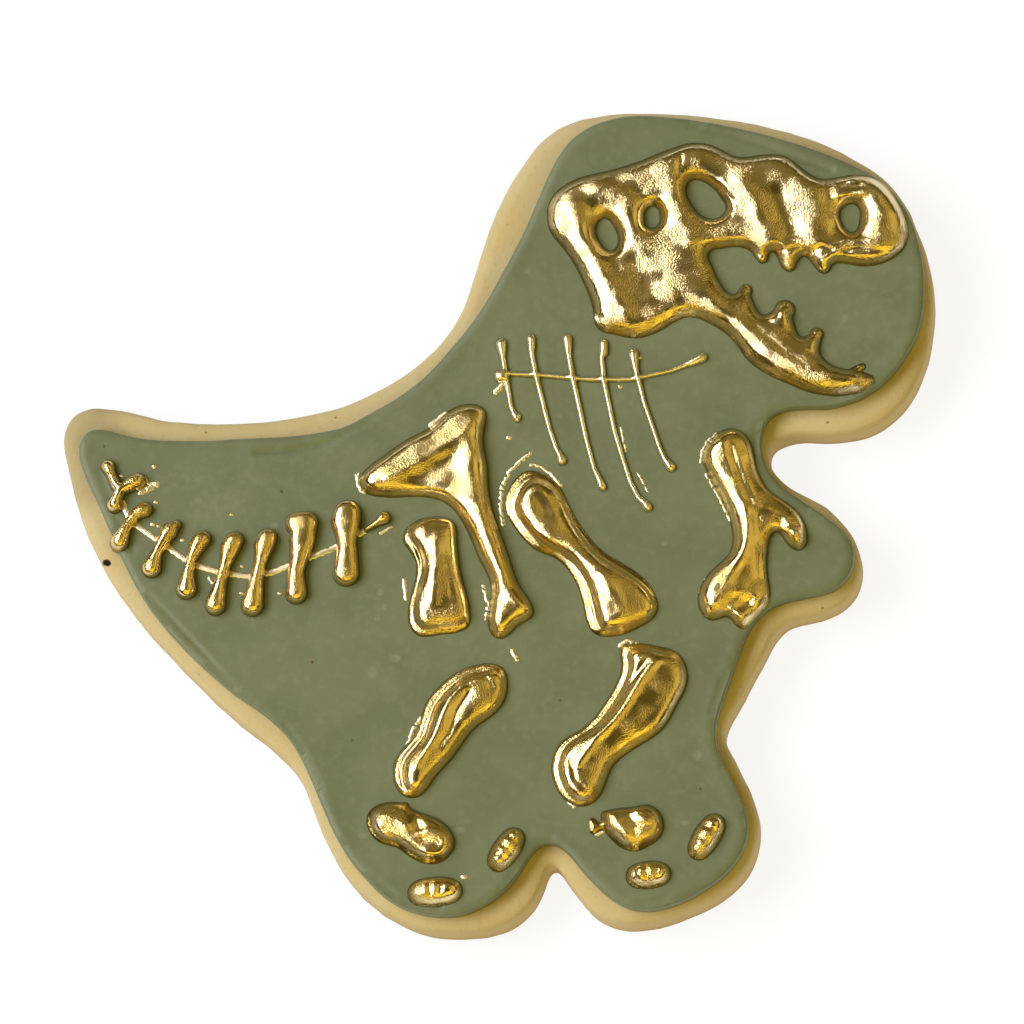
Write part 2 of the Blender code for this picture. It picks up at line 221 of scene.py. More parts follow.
def depth_inside(x, y, loops):
    """Return how far each point lies within the outlines, and less than 0 outside them."""
    nearest = np.full(x.shape, np.inf)
    inside = np.zeros(x.shape, bool)
    for loop in loops:
        for start, end in zip(loop, np.roll(loop, -1, axis=0)):
            _, right, up = from_segment(x, y, start, end)
            nearest = np.minimum(nearest, right ** 2 + up ** 2)
            if start[1] != end[1]:
                crossed = (start[1] > y) != (end[1] > y)
                edge = start[0] + (y - start[1]) * (end[0] - start[0]) / (end[1] - start[1])
                inside ^= crossed & (x < edge)
    return np.where(inside, 1.0, -1.0) * np.sqrt(nearest)


def stroke_gap(x, y, half_width, points):
    """Return each point's distance from a line on the drawing grid, in half widths of it."""
    places = [drawn(*point) for point in points]
    nearest = np.full(x.shape, np.inf)
    for start, end in zip(places, places[1:]):
        _, right, up = from_segment(x, y, start, end)
        nearest = np.minimum(nearest, right ** 2 + up ** 2)
    return np.sqrt(nearest) / (half_width * SQUARE)


def stroke(x, y, half_width, points):
    """Return 1 along a line on the drawing grid, which fades to 0 within two half widths."""
    return np.exp(-stroke_gap(x, y, half_width, points) ** 2)


def chain_depth(x, y, chain):
    """Return how far each point lies within a chain of discs, joined by straight sides."""
    places = [(*drawn(px, py), radius * SQUARE) for px, py, radius in chain]
    deepest = np.full(x.shape, -np.inf)
    for (*start, first), (*end, second) in zip(places, places[1:] or places):
        share, right, up = from_segment(x, y, start, end)
        deepest = np.maximum(deepest, first + (second - first) * share - np.hypot(right, up))
    return deepest


def run_from_left(depth, spacing):
    """Return how far each point inside an outline lies from the edge to its left."""
    run = np.zeros(depth.shape)
    for column in range(1, depth.shape[1]):
        run[:, column] = (run[:, column - 1] + spacing) * (depth[:, column] > 0)
    return run


def softened(field, rounds):
    """Blur an array so many times over, each point with weight 4, beside it 2 and across 1."""
    for _ in range(rounds):
        padded = np.pad(field, 1, mode="edge")
        field = (
            padded[1:-1, 1:-1] * 4
            + (padded[:-2, 1:-1] + padded[2:, 1:-1] + padded[1:-1, :-2] + padded[1:-1, 2:]) * 2
            + padded[:-2, :-2] + padded[:-2, 2:] + padded[2:, :-2] + padded[2:, 2:]
        ) / 16
    return field


def unevenness(x, y, size, seed):
    """Return smooth random heights from about -1 to 1, with bumps of the given size."""
    draw = np.random.default_rng(seed)
    total = np.zeros(x.shape)
    for _ in range(WAVE_COUNT):
        way, phase = draw.uniform(0, 2 * math.pi, 2)
        pace = 2 * math.pi / (size * draw.uniform(*WAVE_STRETCH))
        total += np.sin((x * math.cos(way) + y * math.sin(way)) * pace + phase)
    return total * WAVE_SHARE


def grid_over(name, low, high, spacing):
    """Add a grid over a rectangle. Return it with the sorted order and arrays of X and Y."""
    deselect()
    columns = int((high[0] - low[0]) / spacing) + 1
    rows = int((high[1] - low[1]) / spacing) + 1
    bpy.ops.mesh.primitive_grid_add(x_subdivisions=columns, y_subdivisions=rows, size=1)
    piece = bpy.context.object
    piece.name = name
    piece.data.name = name
    flat = points_of(piece)
    digits = np.round(flat, GRID_DIGITS)
    order = np.lexsort((digits[:, 0], digits[:, 1]))
    shape = (rows + 1, columns + 1)
    x = low[0] + (flat[order, 0].reshape(shape) + 0.5) * columns * spacing
    y = low[1] + (flat[order, 1].reshape(shape) + 0.5) * rows * spacing
    return piece, order, x, y


def points_of(piece):
    flat = np.zeros(len(piece.data.vertices) * 3)
    piece.data.vertices.foreach_get("co", flat)
    return flat.reshape(-1, 3)


def move_points(piece, flat):
    piece.data.vertices.foreach_set("co", flat.ravel())
    piece.data.update()


def place_points(piece, order, x, y, z):
    """Write arrays of coordinates back to the points of a grid."""
    flat = np.zeros((len(piece.data.vertices), 3))
    flat[order] = np.stack([x.ravel(), y.ravel(), z.ravel()], axis=1)
    move_points(piece, flat)


def delete_points(piece, order, doomed):
    """Delete the points of a grid that a mask picks."""
    chosen = np.zeros(len(piece.data.vertices), bool)
    chosen[order] = doomed.ravel()
    edit(piece, "VERT")
    bpy.ops.object.mode_set(mode="OBJECT")
    piece.data.vertices.foreach_set("select", chosen)
    bpy.ops.object.mode_set(mode="EDIT")
    bpy.ops.mesh.delete(type="VERT")
    bpy.ops.object.mode_set(mode="OBJECT")


def extrude_border(piece):
    """Extrude the open edges of a piece. Return its points, and which of them are new."""
    edit(piece, "EDGE")
    bpy.ops.mesh.select_non_manifold(
        extend=False, use_wire=False, use_boundary=True,
        use_multi_face=False, use_non_contiguous=False, use_verts=False,
    )
    bpy.ops.mesh.extrude_edges_move()
    bpy.ops.object.mode_set(mode="OBJECT")
    chosen = np.zeros(len(piece.data.vertices), bool)
    piece.data.vertices.foreach_get("select", chosen)
    return points_of(piece), chosen


def close_below(piece, level):
    """Extrude the border of a piece down to a level and fill it there."""
    flat, chosen = extrude_border(piece)
    flat[chosen, 2] = level
    move_points(piece, flat)
    bpy.ops.object.mode_set(mode="EDIT")
    bpy.ops.mesh.fill(use_beauty=False)
    bpy.ops.mesh.select_all(action="SELECT")
    bpy.ops.mesh.normals_make_consistent(inside=False)
    bpy.ops.object.mode_set(mode="OBJECT")


def smooth(piece, degrees):
    pick(piece)
    bpy.ops.object.shade_smooth_by_angle(angle=math.radians(degrees))


def inflated(depth, spacing, reach, shape):
    """Return the height, from 0 to 1, of a skin blown up over the area where depth is above 0.

    It rises steeply at the edge and levels off about one reach from it.
    """
    open_share = np.clip(depth / spacing + 0.5, 0, 1)
    stiffness = (spacing / reach) ** 2
    skin = np.zeros(depth.shape)
    for _ in range(int(SKIN_ROUNDS * reach / spacing) + SKIN_ROUNDS_LEAST):
        padded = np.pad(skin, 1)
        around = padded[:-2, 1:-1] + padded[2:, 1:-1] + padded[1:-1, :-2] + padded[1:-1, 2:]
        skin = open_share * (around + spacing ** 2) / (4 + stiffness)
    return (skin / skin.max()) ** shape


def rounded_step(depth, radius):
    """Return 0 at an edge and 1 from a radius inwards, with a quarter-round between."""
    share = np.clip(depth / radius, 0, 1)
    return np.sqrt(1 - (1 - share) ** 2)


def toe(*grooves):
    """Return the recipe of a toe: a small cushion with grooves across it."""
    return {
        "terraces": [(0, 0, 0, 2.4, 0.00032)],
        "core": (3.0, 0.8, -0.8, 0.00090),
        "crown": 0.00160,
        "ridges": grooves,
    }


# Relief of the bones. Places and lengths are in squares of the drawing grid, but heights and the
# core's reach are in metres. Everything but core, crown, terraces and ridges may be left out.
# terraces: ledges, each (inset, move right, move down, edge radius, height)
# core: the blown-up middle, (inset, move right, move down, reach)
# crown: the highest point over the icing
# fall: the core's slope down to the right, (start, length, share of its height)
# ridges: (height, half width, points), grooves where the height is less than 0
# chains: discs joined by straight sides that add to the outline, each disc (x, y, radius)
# by_chains: the chains alone give the outline
# swell: how far the outline grows
# domes: bulbs that stand out of the relief, (height, edge radius, chain)
# lowered: places that are pressed down, (share of the height, half width, points)
# within_icing: the outline keeps within the icing's
# spacing: of the grid, where it isn't BONE_SPACING
RELIEF = {}
RELIEF["skull"] = {
    "terraces": [(0, 0, 0, 3.0, 0.00046)],
    "core": (3.0, 1.0, 0.2, 0.00125),
    "crown": 0.00198,
    "ridges": [
        (0.00042, 9, [(575, 210), (590, 246), (608, 282), (626, 312)]),
        (-0.00014, 2.0, [(554, 212), (571, 252), (587, 288), (596, 306)]),
        (0.00030, 11, [(600, 190), (626, 196), (636, 222), (641, 250)]),
        (0.00034, 12, [(668, 168), (678, 190), (684, 214), (692, 240)]),
        (-0.00020, 8, [(618, 180), (640, 194)]),
        (-0.00022, 9, [(598, 214), (604, 246), (614, 262)]),
        (-0.00034, 13, [(636, 252), (642, 278), (655, 300)]),
        (0.00026, 15, [(678, 256), (700, 286), (712, 306)]),
        (-0.00020, 3.2, [(680, 150), (682, 162), (679, 176)]),
        (0.00018, 2.2, [(677, 152), (675, 162)]),
        (0.00034, 10, [(742, 184), (758, 208), (768, 232), (772, 246)]),
        (-0.00022, 10, [(716, 160), (728, 178), (742, 208)]),
        (-0.00030, 10, [(780, 196), (788, 222), (796, 236)]),
        (0.00024, 13, [(806, 180), (816, 206), (814, 232)]),
        (-0.00022, 8, [(830, 182), (832, 210), (838, 234)]),
        (0.00030, 10, [(874, 190), (884, 214), (880, 238)]),
        (0.00044, 3.2, [(839, 197), (865, 194)]),
        (-0.00020, 3.0, [(842, 188), (862, 186)]),
        (0.00026, 3.6, [(852, 180), (858, 182)]),
        (0.00022, 2.6, [(684, 180), (682, 194), (690, 212), (706, 226)]),
        (0.00016, 2.2, [(714, 184), (735, 207)]),
        (-0.00014, 2.2, [(719, 184), (740, 207)]),
        (0.00018, 2.4, [(724, 182), (745, 207)]),
        (0.00018, 3, [(690, 243), (716, 241), (740, 240)]),
        (-0.00014, 2.4, [(704, 247), (722, 244), (740, 243)]),
        (0.00018, 3, [(768, 246), (777, 240), (786, 247), (797, 240), (808, 248), (822, 242),
                      (834, 247), (850, 241), (872, 243)]),
        (-0.00020, 2.2, [(766, 251), (777, 246), (788, 252), (800, 247), (812, 253), (824, 248),
                         (838, 254), (856, 250), (888, 252)]),
        (0.00024, 2.6, [(829, 260), (839, 252), (852, 260)]),
        (0.00034, 9, [(652, 300), (680, 290), (706, 294), (730, 312), (752, 332), (772, 350),
                      (796, 364), (826, 376), (854, 382)]),
        (-0.00026, 2.6, [(702, 316), (726, 327), (744, 347), (768, 367), (798, 386)]),
        (-0.00018, 3.6, [(722, 304), (744, 318), (764, 336), (786, 354), (806, 366)]),
        (0.00020, 2.4, [(742, 286), (746, 294)]),
        (0.00024, 4, [(780, 308), (786, 318)]),
        (-0.00018, 2.4, [(768, 322), (780, 330), (796, 334)]),
        (0.00020, 3, [(814, 336), (816, 346)]),
        (-0.00012, 2.2, [(804, 346), (814, 356), (830, 366), (848, 371)]),
        (0.00016, 2.4, [(846, 366), (862, 367)]),
        (-0.00022, 2.4, [(601, 317), (614, 329), (632, 333), (652, 326), (670, 316), (690, 311)]),
    ],
    "chains": [
        [(757, 246, 5), (763, 257, 5.6)],
        [(784, 254, 5), (790, 265, 6.2)],
        [(814, 255, 5), (825, 267, 6.0)],
        [(742, 296, 6), (746, 290, 6.6)],
        [(776, 320, 7), (785, 310, 11)],
        [(814, 342, 5), (817, 334, 7)],
        [(852, 370, 3), (863, 366, 3.6)],
    ],
    "lowered": [(0.45, 9, [(906, 190), (911, 210), (909, 238)]),
                (0.35, 8, [(866, 380), (860, 396)])],
    "domes": [
        (0.00105, 6, [(756, 244, 5), (763, 257, 6.2)]),
        (0.00110, 6, [(782, 252, 5), (790, 264, 6.8)]),
        (0.00110, 6, [(812, 254, 5), (825, 266, 6.6)]),
        (0.00095, 5, [(842, 252, 4), (852, 256, 4)]),
        (0.00100, 6, [(742, 298, 6), (746, 290, 6.8)]),
        (0.00115, 7, [(776, 322, 7), (786, 309, 8.6)]),
        (0.00100, 6, [(814, 344, 6), (817, 334, 7.2)]),
        (0.00080, 4, [(596, 318, 5), (601, 322, 5)]),
    ],
}
RELIEF["pelvis"] = {
    "terraces": [(0, 0, 0, 3.0, 0.00040)],
    "core": (2.5, 1.0, 0.3, 0.00130),
    "crown": 0.00210,
    "ridges": [
        (0.00026, 7, [(390, 479), (416, 466), (446, 449), (474, 426)]),
        (-0.00026, 9, [(414, 484), (436, 474), (452, 460)]),
        (0.00034, 12, [(474, 448), (474, 478), (484, 512), (494, 546), (503, 576)]),
        (0.00014, 2.0, [(484, 452), (491, 493), (501, 525), (512, 558), (521, 585)]),
        (-0.00014, 2.0, [(480, 455), (486, 495), (496, 527), (507, 560), (515, 583)]),
        (-0.00018, 4, [(497, 590), (503, 602)]),
        (0.00018, 4, [(512, 596), (520, 606), (532, 612)]),
        (-0.00018, 1.8, [(489, 618), (496, 631), (508, 630), (520, 617)]),
    ],
}
RELIEF["loin_bone"] = {
    "terraces": [(0, 0, 0, 3.0, 0.00050)],
    "core": (4.5, 2.2, -2.4, 0.00120),
    "crown": 0.00204,
    "fall": (16, 22, 0.14),
    "ridges": [
        (0.00018, 6, [(438, 542), (436, 575), (435, 604)]),
        (0.00020, 3, [(406, 534), (412, 546), (415, 552)]),
        (-0.00020, 2.6, [(418, 546), (421, 560), (423, 574)]),
        (-0.00012, 2.4, [(446, 552), (449, 575), (453, 598)]),
        (-0.00012, 4, [(432, 528), (446, 527)]),
    ],
}
RELIEF["thigh_bone"] = {
    "terraces": [(0, 0, 0, 2.4, 0.00034), (4.2, 1.8, 1.5, 2.4, 0.00026)],
    "core": (8.0, 4.2, 2.6, 0.00112),
    "crown": 0.00210,
    "fall": (16, 30, 0.26),
    "ridges": [
        (-0.00018, 4, [(590, 588), (594, 606), (600, 622)]),
        (-0.00012, 2.2, [(549, 492), (566, 517), (580, 537), (600, 558)]),
        (-0.00012, 5, [(537, 500), (547, 515)]),
        (0.00016, 7, [(600, 572), (618, 598), (622, 616)]),
        (-0.00012, 4, [(598, 578), (606, 598)]),
    ],
}
RELIEF["arm_bone"] = {
    "terraces": [(0, 0, 0, 2.6, 0.00030)],
    "core": (2.2, 0.8, 0.2, 0.00125),
    "crown": 0.00210,
    "fall": (14, 34, 0.42),
    "within_icing": True,
    "lowered": [(0.72, 11, [(784, 594), (772, 610), (757, 624)])],
    "ridges": [
        (0.00024, 5, [(724, 446), (734, 474), (746, 500), (750, 526), (744, 556), (728, 584)]),
        (0.00016, 4, [(736, 446), (750, 484), (759, 508)]),
        (-0.00020, 3.6, [(731, 452), (742, 486), (750, 504)]),
        (0.00020, 5, [(768, 510), (786, 518), (798, 542)]),
        (-0.00024, 5, [(758, 520), (762, 548), (762, 580)]),
        (0.00022, 5, [(716, 604), (726, 594), (744, 590), (758, 598), (760, 612)]),
        (-0.00038, 5, [(741, 607), (749, 603)]),
        (-0.00020, 3, [(727, 608), (735, 600)]),
    ],
}
RELIEF["rear_shin"] = {
    "terraces": [(0, 0, 0, 5.0, 0.00074)],
    "core": (7.0, 3.6, 2.2, 0.00110),
    "crown": 0.00210,
    "fall": (15, 26, 0.28),
    "ridges": [
        (0.00022, 3.4, [(464, 684), (450, 703), (442, 722), (434, 742), (418, 768)]),
        (-0.00026, 3.6, [(470, 694), (458, 712), (450, 734), (440, 748)]),
        (0.00016, 6, [(482, 700), (468, 722)]),
        (-0.00018, 3, [(484, 676), (492, 688)]),
        (0.00018, 2.4, [(497, 671), (499, 673)]),
        (-0.00014, 2.0, [(404, 772), (404, 786), (412, 795)]),
    ],
}
RELIEF["rear_foot_bone"] = {
    "terraces": [(0, 0, 0, 2.6, 0.00040)],
    "core": (3.4, 1.6, -1.0, 0.00105),
    "crown": 0.00178,
    "ridges": [
        (0.00026, 4, [(384, 818), (397, 820), (408, 828)]),
        (-0.00022, 3, [(386, 830), (398, 842)]),
        (-0.00040, 5, [(410, 804), (415, 818), (420, 830)]),
        (-0.00026, 5, [(424, 842), (436, 846)]),
        (0.00020, 3, [(420, 834), (432, 832), (444, 838), (449, 848), (440, 856), (426, 854)]),
    ],
    "chains": [[(405, 805, 4), (404, 812, 8)]],
}
RELIEF["rear_toe_front"] = toe(
    (-0.00022, 2.4, [(494, 851), (506, 860)]),
    (-0.00032, 2.6, [(500, 842), (511, 853)]),
    (-0.00024, 2.2, [(507, 835), (517, 843)]),
)
RELIEF["rear_toe_lower"] = toe(
    (-0.00018, 3.0, [(419, 880), (420, 892)]),
    (-0.00032, 2.4, [(429, 876), (431, 896)]),
    (-0.00022, 3.0, [(442, 882), (440, 898)]),
)
RELIEF["front_shin"] = {
    "terraces": [(0, 0, 0, 4.0, 0.00060)],
    "core": (6.0, 2.6, 1.2, 0.00118),
    "crown": 0.00210,
    "fall": (16, 32, 0.30),
    "ridges": [
        (0.00030, 4.0, [(657, 664), (642, 682), (629, 704), (614, 724), (598, 740), (580, 766)]),
        (-0.00022, 3.0, [(646, 664), (630, 688), (616, 712), (600, 728)]),
        (-0.00018, 3, [(572, 762), (576, 782), (586, 792)]),
        (0.00018, 2.2, [(622, 645), (634, 644), (636, 650)]),
        (0.00018, 2.2, [(622, 661), (636, 658), (640, 651), (655, 652)]),
    ],
    "chains": [[(628, 650, 6), (634, 660, 6), (642, 668, 8)]],
}
RELIEF["front_ankle_bone"] = {
    "terraces": [(0, 0, 0, 2.6, 0.00036)],
    "core": (3.0, 1.0, -1.0, 0.00100),
    "crown": 0.00176,
    "ridges": [
        (-0.00016, 4.0, [(628, 814), (634, 826), (634, 840)]),
        (0.00024, 2.6, [(609, 814), (618, 822)]),
        (0.00020, 3.4, [(620, 828), (630, 836)]),
        (0.00034, 3.4, [(637, 812), (639, 813)]),
        (0.00030, 3.6, [(644, 821), (649, 823)]),
        (-0.00018, 2.4, [(638, 826), (652, 826)]),
    ],
    "chains": [[(592, 822, 5), (594, 829, 5)], [(597, 826, 4), (606, 824, 5)]],
    "domes": [(0.00150, 17, [(632, 827, 17), (646, 825, 17)])],
}
RELIEF["front_toe_front"] = toe(
    (-0.00034, 2.4, [(702, 825), (716, 832)]),
    (-0.00026, 2.8, [(697, 836), (709, 842)]),
    (-0.00020, 2.4, [(694, 845), (705, 853)]),
)
RELIEF["front_toe_lower"] = toe(
    (-0.00024, 2.4, [(634, 866), (636, 882)]),
    (-0.00032, 2.4, [(645, 862), (648, 880)]),
    (-0.00026, 2.6, [(657, 866), (656, 882)]),
)
RELIEF["ribs"] = {
    "terraces": [],
    "swell": 0.1,
    "core": (0, 0, 0, 0.00070),
    "crown": 0.00085,
    "ridges": [],
    "chains": [
        [(502, 342, 4.6), (503, 352, 3.4)], [(531, 338, 4.6), (532, 348, 3.4)],
        [(568, 338, 4.6), (569, 348, 3.4)], [(604, 343, 4.6), (605, 353, 3.4)],
        [(634, 353, 5.0), (636, 362, 3.4)], [(690, 363, 3.6), (703, 357, 5.0)],
        [(514, 414, 3.4), (517, 417, 4.4)], [(560, 458, 3.2), (562, 461, 4.0)],
        [(600, 482, 3.2), (602, 486, 4.2)], [(645, 503, 3.2), (648, 507, 4.6)],
        [(668, 462, 3.4), (671, 467, 4.8)], [(499, 378, 4.2), (506, 378, 3.0)],
    ],
    "spacing": LINE_SPACING,
}
RELIEF["tail_bones"] = {
    "terraces": [],
    "swell": 2.2,
    "core": (0, 0, 0, 0.00110),
    "crown": 0.00170,
    "ridges": [],
    "by_chains": True,
    "domes": [
        (0.00090, 7, [(384, 518, 7.4)]),
        (0.00110, 6, [(137, 481, 7)]),
        (0.00110, 7, [(119, 542, 8)]),
        (0.00120, 8, [(151, 568, 9)]),
        (0.00130, 9, [(186, 589, 9.6)]),
        (0.00130, 9, [(215, 606, 9.8)]),
        (0.00140, 10, [(252, 606, 11)]),
        (0.00140, 10, [(296, 593, 10.4)]),
        (0.00150, 12, [(346, 573, 13)]),
        (0.00130, 8, [(266, 542, 9.6)]),
        (0.00120, 8, [(232, 545, 9)]),
        (0.00110, 7, [(201, 542, 8)]),
    ],
    "chains": [
        [(366, 530, 0.4), (376, 524, 1.0), (384, 518, 4.6)],
        [(107, 467, 5.4), (110, 474, 3.2), (115, 486, 3.4)],
        [(137, 481, 6.2), (129, 485, 5.6), (120, 491, 3.6), (116, 499, 4.4), (114, 505, 6.2)],
        [(144, 510, 6.0), (136, 514, 4.2), (129, 522, 3.0), (124, 531, 4.6), (119, 542, 7.2)],
        [(176, 525, 3.2), (169, 531, 6.8), (162, 543, 5.2), (156, 554, 4.2), (151, 568, 8.2)],
        [(202, 539, 6.8), (197, 546, 6.8), (191, 560, 3.4), (188, 572, 4.2), (186, 589, 8.6)],
        [(234, 541, 7.6), (230, 548, 8.0), (225, 565, 4.4), (220, 584, 4.8), (215, 605, 8.6)],
        [(267, 538, 8.0), (264, 546, 8.6), (260, 564, 4.4), (256, 582, 5.8), (252, 605, 9.6)],
        [(297, 524, 10), (306, 523, 10), (302, 540, 11.4), (299, 560, 7.4), (296, 572, 6.4),
         (296, 593, 9.2)],
        [(347, 514, 12), (346, 522, 13), (347, 542, 8.0), (347, 556, 9), (346, 573, 11.4)],
    ],
    "spacing": LINE_SPACING,
}


# Unevenness that every piped bone has, but not the thin lines
WAVE_HEIGHT = 0.00005
WAVE_LENGTH = 0.0022
RIPPLE_HEIGHT = 0.000007
RIPPLE_LENGTH = 0.0005
RIPPLE_SEED = 100

# Ridges and waves fade in from this many squares within the outline, over this many more
COVER_START = 2
COVER_WIDTH = 6

# Rounds of blurring, slope of the skin below the icing, and cells of the grid around a bone
CUSHION_ROUNDS = 5
LINE_ROUNDS = 1
FALL_ROUNDS = 14
SUNK_SLOPE = 2.0
BONE_MARGIN = 12


def moved(field, spacing, right, down):
    """Return a field moved by squares of the drawing grid, to the nearest whole cell."""
    columns = round(right * SQUARE / spacing)
    rows = round(-down * SQUARE / spacing)
    return np.roll(field, (rows, columns), axis=(0, 1))


def bone_depth(recipe, loops, x, y):
    """Return how far each point lies within a bone's outline, and less than 0 outside it."""
    if recipe.get("by_chains"):
        depth = np.full(x.shape, -1.0)
    else:
        depth = depth_inside(x, y, loops)
    for chain in recipe.get("chains", []):
        depth = np.maximum(depth, chain_depth(x, y, chain))
    depth += recipe.get("swell", 0) * SQUARE
    if recipe.get("within_icing"):
        room = depth_inside(x, y, outline_of("icing", ICING_CUT, rounds=1)) - ARM_INSET
        blend = np.exp(-depth / ICING_ROUND) + np.exp(-room / ICING_ROUND)
        depth = -ICING_ROUND * np.log(blend)
    return depth


def core_height(recipe, depth, spacing, shape):
    """Return the height of a bone's blown-up middle, from 0 to 1."""
    inset, right, down, reach = recipe["core"]
    core_depth = moved(depth, spacing, right, down) - inset * SQUARE
    core = inflated(core_depth, spacing, reach, shape)
    if "fall" in recipe:
        start, length, share = recipe["fall"]
        run = softened(run_from_left(core_depth, spacing), FALL_ROUNDS)
        core *= 1 - share * np.clip((run - start * SQUARE) / (length * SQUARE), 0, 1)
    return core / core.max()


def bone_height(recipe, depth, x, y, spacing, seed):
    """Return a bone's height over the icing, which is less than 0 outside its outline."""
    cushioned = bool(recipe["terraces"])
    height = np.zeros(depth.shape)
    for inset, right, down, radius, rise in recipe["terraces"]:
        terrace_depth = moved(depth, spacing, right, down) - inset * SQUARE
        height += rise * rounded_step(terrace_depth, radius * SQUARE)
    core = core_height(recipe, depth, spacing, WALL_SHAPE if cushioned else LINE_SHAPE)
    height += core * (recipe["crown"] - height.max())
    cover = rounded_step(depth - COVER_START * SQUARE, COVER_WIDTH * SQUARE)
    for rise, half_width, points in recipe["ridges"]:
        height += rise * stroke(x, y, half_width, points) * cover
    for rise, radius, chain in recipe.get("domes", []):
        dome = rise * rounded_step(chain_depth(x, y, chain), radius * SQUARE)
        height = np.maximum(height, dome)
    if cushioned:
        height += WAVE_HEIGHT * unevenness(x, y, WAVE_LENGTH, seed) * cover
        height += RIPPLE_HEIGHT * unevenness(x, y, RIPPLE_LENGTH, seed + RIPPLE_SEED) * cover
    for share, half_width, points in recipe.get("lowered", []):
        height *= 1 - share * stroke(x, y, half_width, points)
    height = softened(height, CUSHION_ROUNDS if cushioned else LINE_ROUNDS)
    height *= recipe["crown"] / height.max()
    height = np.where(depth < 0, np.minimum(height, 0) + depth * SUNK_SLOPE, height)
    return softened(height, 1)


def bone(name, seed):
    """Model one bone as relief on the icing, within the outline of its solid."""
    recipe = RELIEF[name]
    spacing = recipe.get("spacing", BONE_SPACING)
    loops = outline_of(name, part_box(name)[0].z, rounds=1 if recipe["terraces"] else 0)
    low, high = extent(loops, spacing * BONE_MARGIN)
    piece, order, x, y = grid_over(name + "_relief", low, high, spacing)
    height = bone_height(recipe, bone_depth(recipe, loops, x, y), x, y, spacing, seed)
    top = np.minimum(ICING_TOP + np.clip(height, -BONE_SUNK, None), HIGHEST)
    place_points(piece, order, x, y, top)
    delete_points(piece, order, height < -BONE_SUNK * BONE_CUT)
    close_below(piece, ICING_TOP - BONE_ROOT)
    smooth(piece, GOLD_SMOOTH)
    return piece


# A slab's top keeps the points that lie at least this many spacings within its first ring
BORDER_CELLS = 0.35


def slab(name, node, level, spacing, rise, rings, wobble, seed):
    """Model a flat layer: a grid for its top, snapped to its outline, and rings for its side.

    rise gives the top's height for arrays of place and depth. Each ring is (depth, height), and
    wobble is (depth, size) of the waves that make it uneven.
    """
    loops = outline_of(node, level, rounds=2)
    low, high = extent(loops, spacing)
    piece, order, x, y = grid_over(name, low, high, spacing)
    depth = depth_inside(x, y, loops)
    slope_y, slope_x = np.gradient(softened(depth, 2), spacing)
    length = np.hypot(slope_x, slope_y) + SLOPE_GUARD
    inset = rings[0][0]
    kept = depth > inset + spacing * BORDER_CELLS
    beside = np.pad(kept, 1)
    surrounded = (
        beside[:-2, 1:-1] & beside[2:, 1:-1] & beside[1:-1, :-2] & beside[1:-1, 2:]
        & beside[:-2, :-2] & beside[:-2, 2:] & beside[2:, :-2] & beside[2:, 2:]
    )
    border = kept & ~surrounded
    push = np.where(border, inset - depth, 0)
    x = x + push * slope_x / length
    y = y + push * slope_y / length
    place_points(piece, order, x, y, rise(x, y, np.where(border, inset, depth)))
    delete_points(piece, order, ~kept)
    for ring_depth, ring_height in rings[1:]:
        add_ring(piece, loops, ring_depth, ring_height, wobble, seed)
    close_below(piece, rings[-1][1])
    smooth(piece, SLAB_SMOOTH)
    return piece


def add_ring(piece, loops, depth, height, wobble, seed):
    """Extrude the border of a slab to a depth within its outline and to a height."""
    flat, chosen = extrude_border(piece)
    ring = flat[chosen]
    here = depth_inside(ring[:, 0], ring[:, 1], loops)
    right = depth_inside(ring[:, 0] + NUDGE, ring[:, 1], loops)
    up = depth_inside(ring[:, 0], ring[:, 1] + NUDGE, loops)
    way = np.stack([right - here, up - here], axis=1)
    way /= np.linalg.norm(way, axis=1)[:, None] + WAY_GUARD
    wave_depth, wave_size = wobble
    rough = np.array([
        abs(noise.noise(Vector((px / wave_size, py / wave_size, seed)))) for px, py in ring[:, :2]
    ])
    target = depth + rough * wave_depth
    ring[:, :2] += way * (target - here)[:, None]
    ring[:, 2] = height
    flat[chosen] = ring
    move_points(piece, flat)


# Grooves where the piped border of the icing meets the flooded middle: depth, half width, points
ICING_GROOVES = [
    (0.00024, 2.4, [(255, 452), (295, 449), (330, 441), (368, 421), (402, 396), (432, 370)]),
    (0.00018, 2.4, [(690, 124), (731, 133), (761, 142), (795, 155), (832, 168)]),
    (0.00024, 2.4, [(138, 585), (160, 608), (198, 648), (245, 700)]),
    (0.00022, 2.4, [(285, 724), (304, 752), (322, 790)]),
    (0.00024, 2.4, [(342, 842), (360, 868), (400, 898), (440, 905)]),
    (0.00024, 2.4, [(553, 845), (572, 866), (600, 892), (632, 904), (668, 898)]),
    (0.00020, 2.4, [(500, 888), (520, 862), (538, 842), (552, 836)]),
    (0.00022, 2.6, [(754, 455), (757, 425), (776, 407), (825, 400), (872, 385)]),
    (0.00022, 2.6, [(748, 640), (722, 680), (712, 712), (712, 738)]),
    (0.00010, 3.0, [(98, 470), (112, 510), (132, 552)]),
]

# The grooves fade in from a share of this depth within the icing's outline to full depth
GROOVE_FADE = 0.0009
GROOVE_START = 0.3

# Raised border of the icing outside those grooves
BEAD_HEIGHT = 0.00004
BEAD_DEPTH = 0.0010
BEAD_WIDTH = 0.0006

# Waves in the tops of the two slabs: height, size and seed
ICING_WAVES = (0.00003, 0.009, 3)
BISCUIT_WAVES = (0.00006, 0.006, 11)


def edge_drop(depth, radius):
    """Return how far a quarter-round edge lies below its top."""
    edge = np.clip(1 - depth / radius, 0, 1)
    return radius * (1 - np.sqrt(1 - edge ** 2))


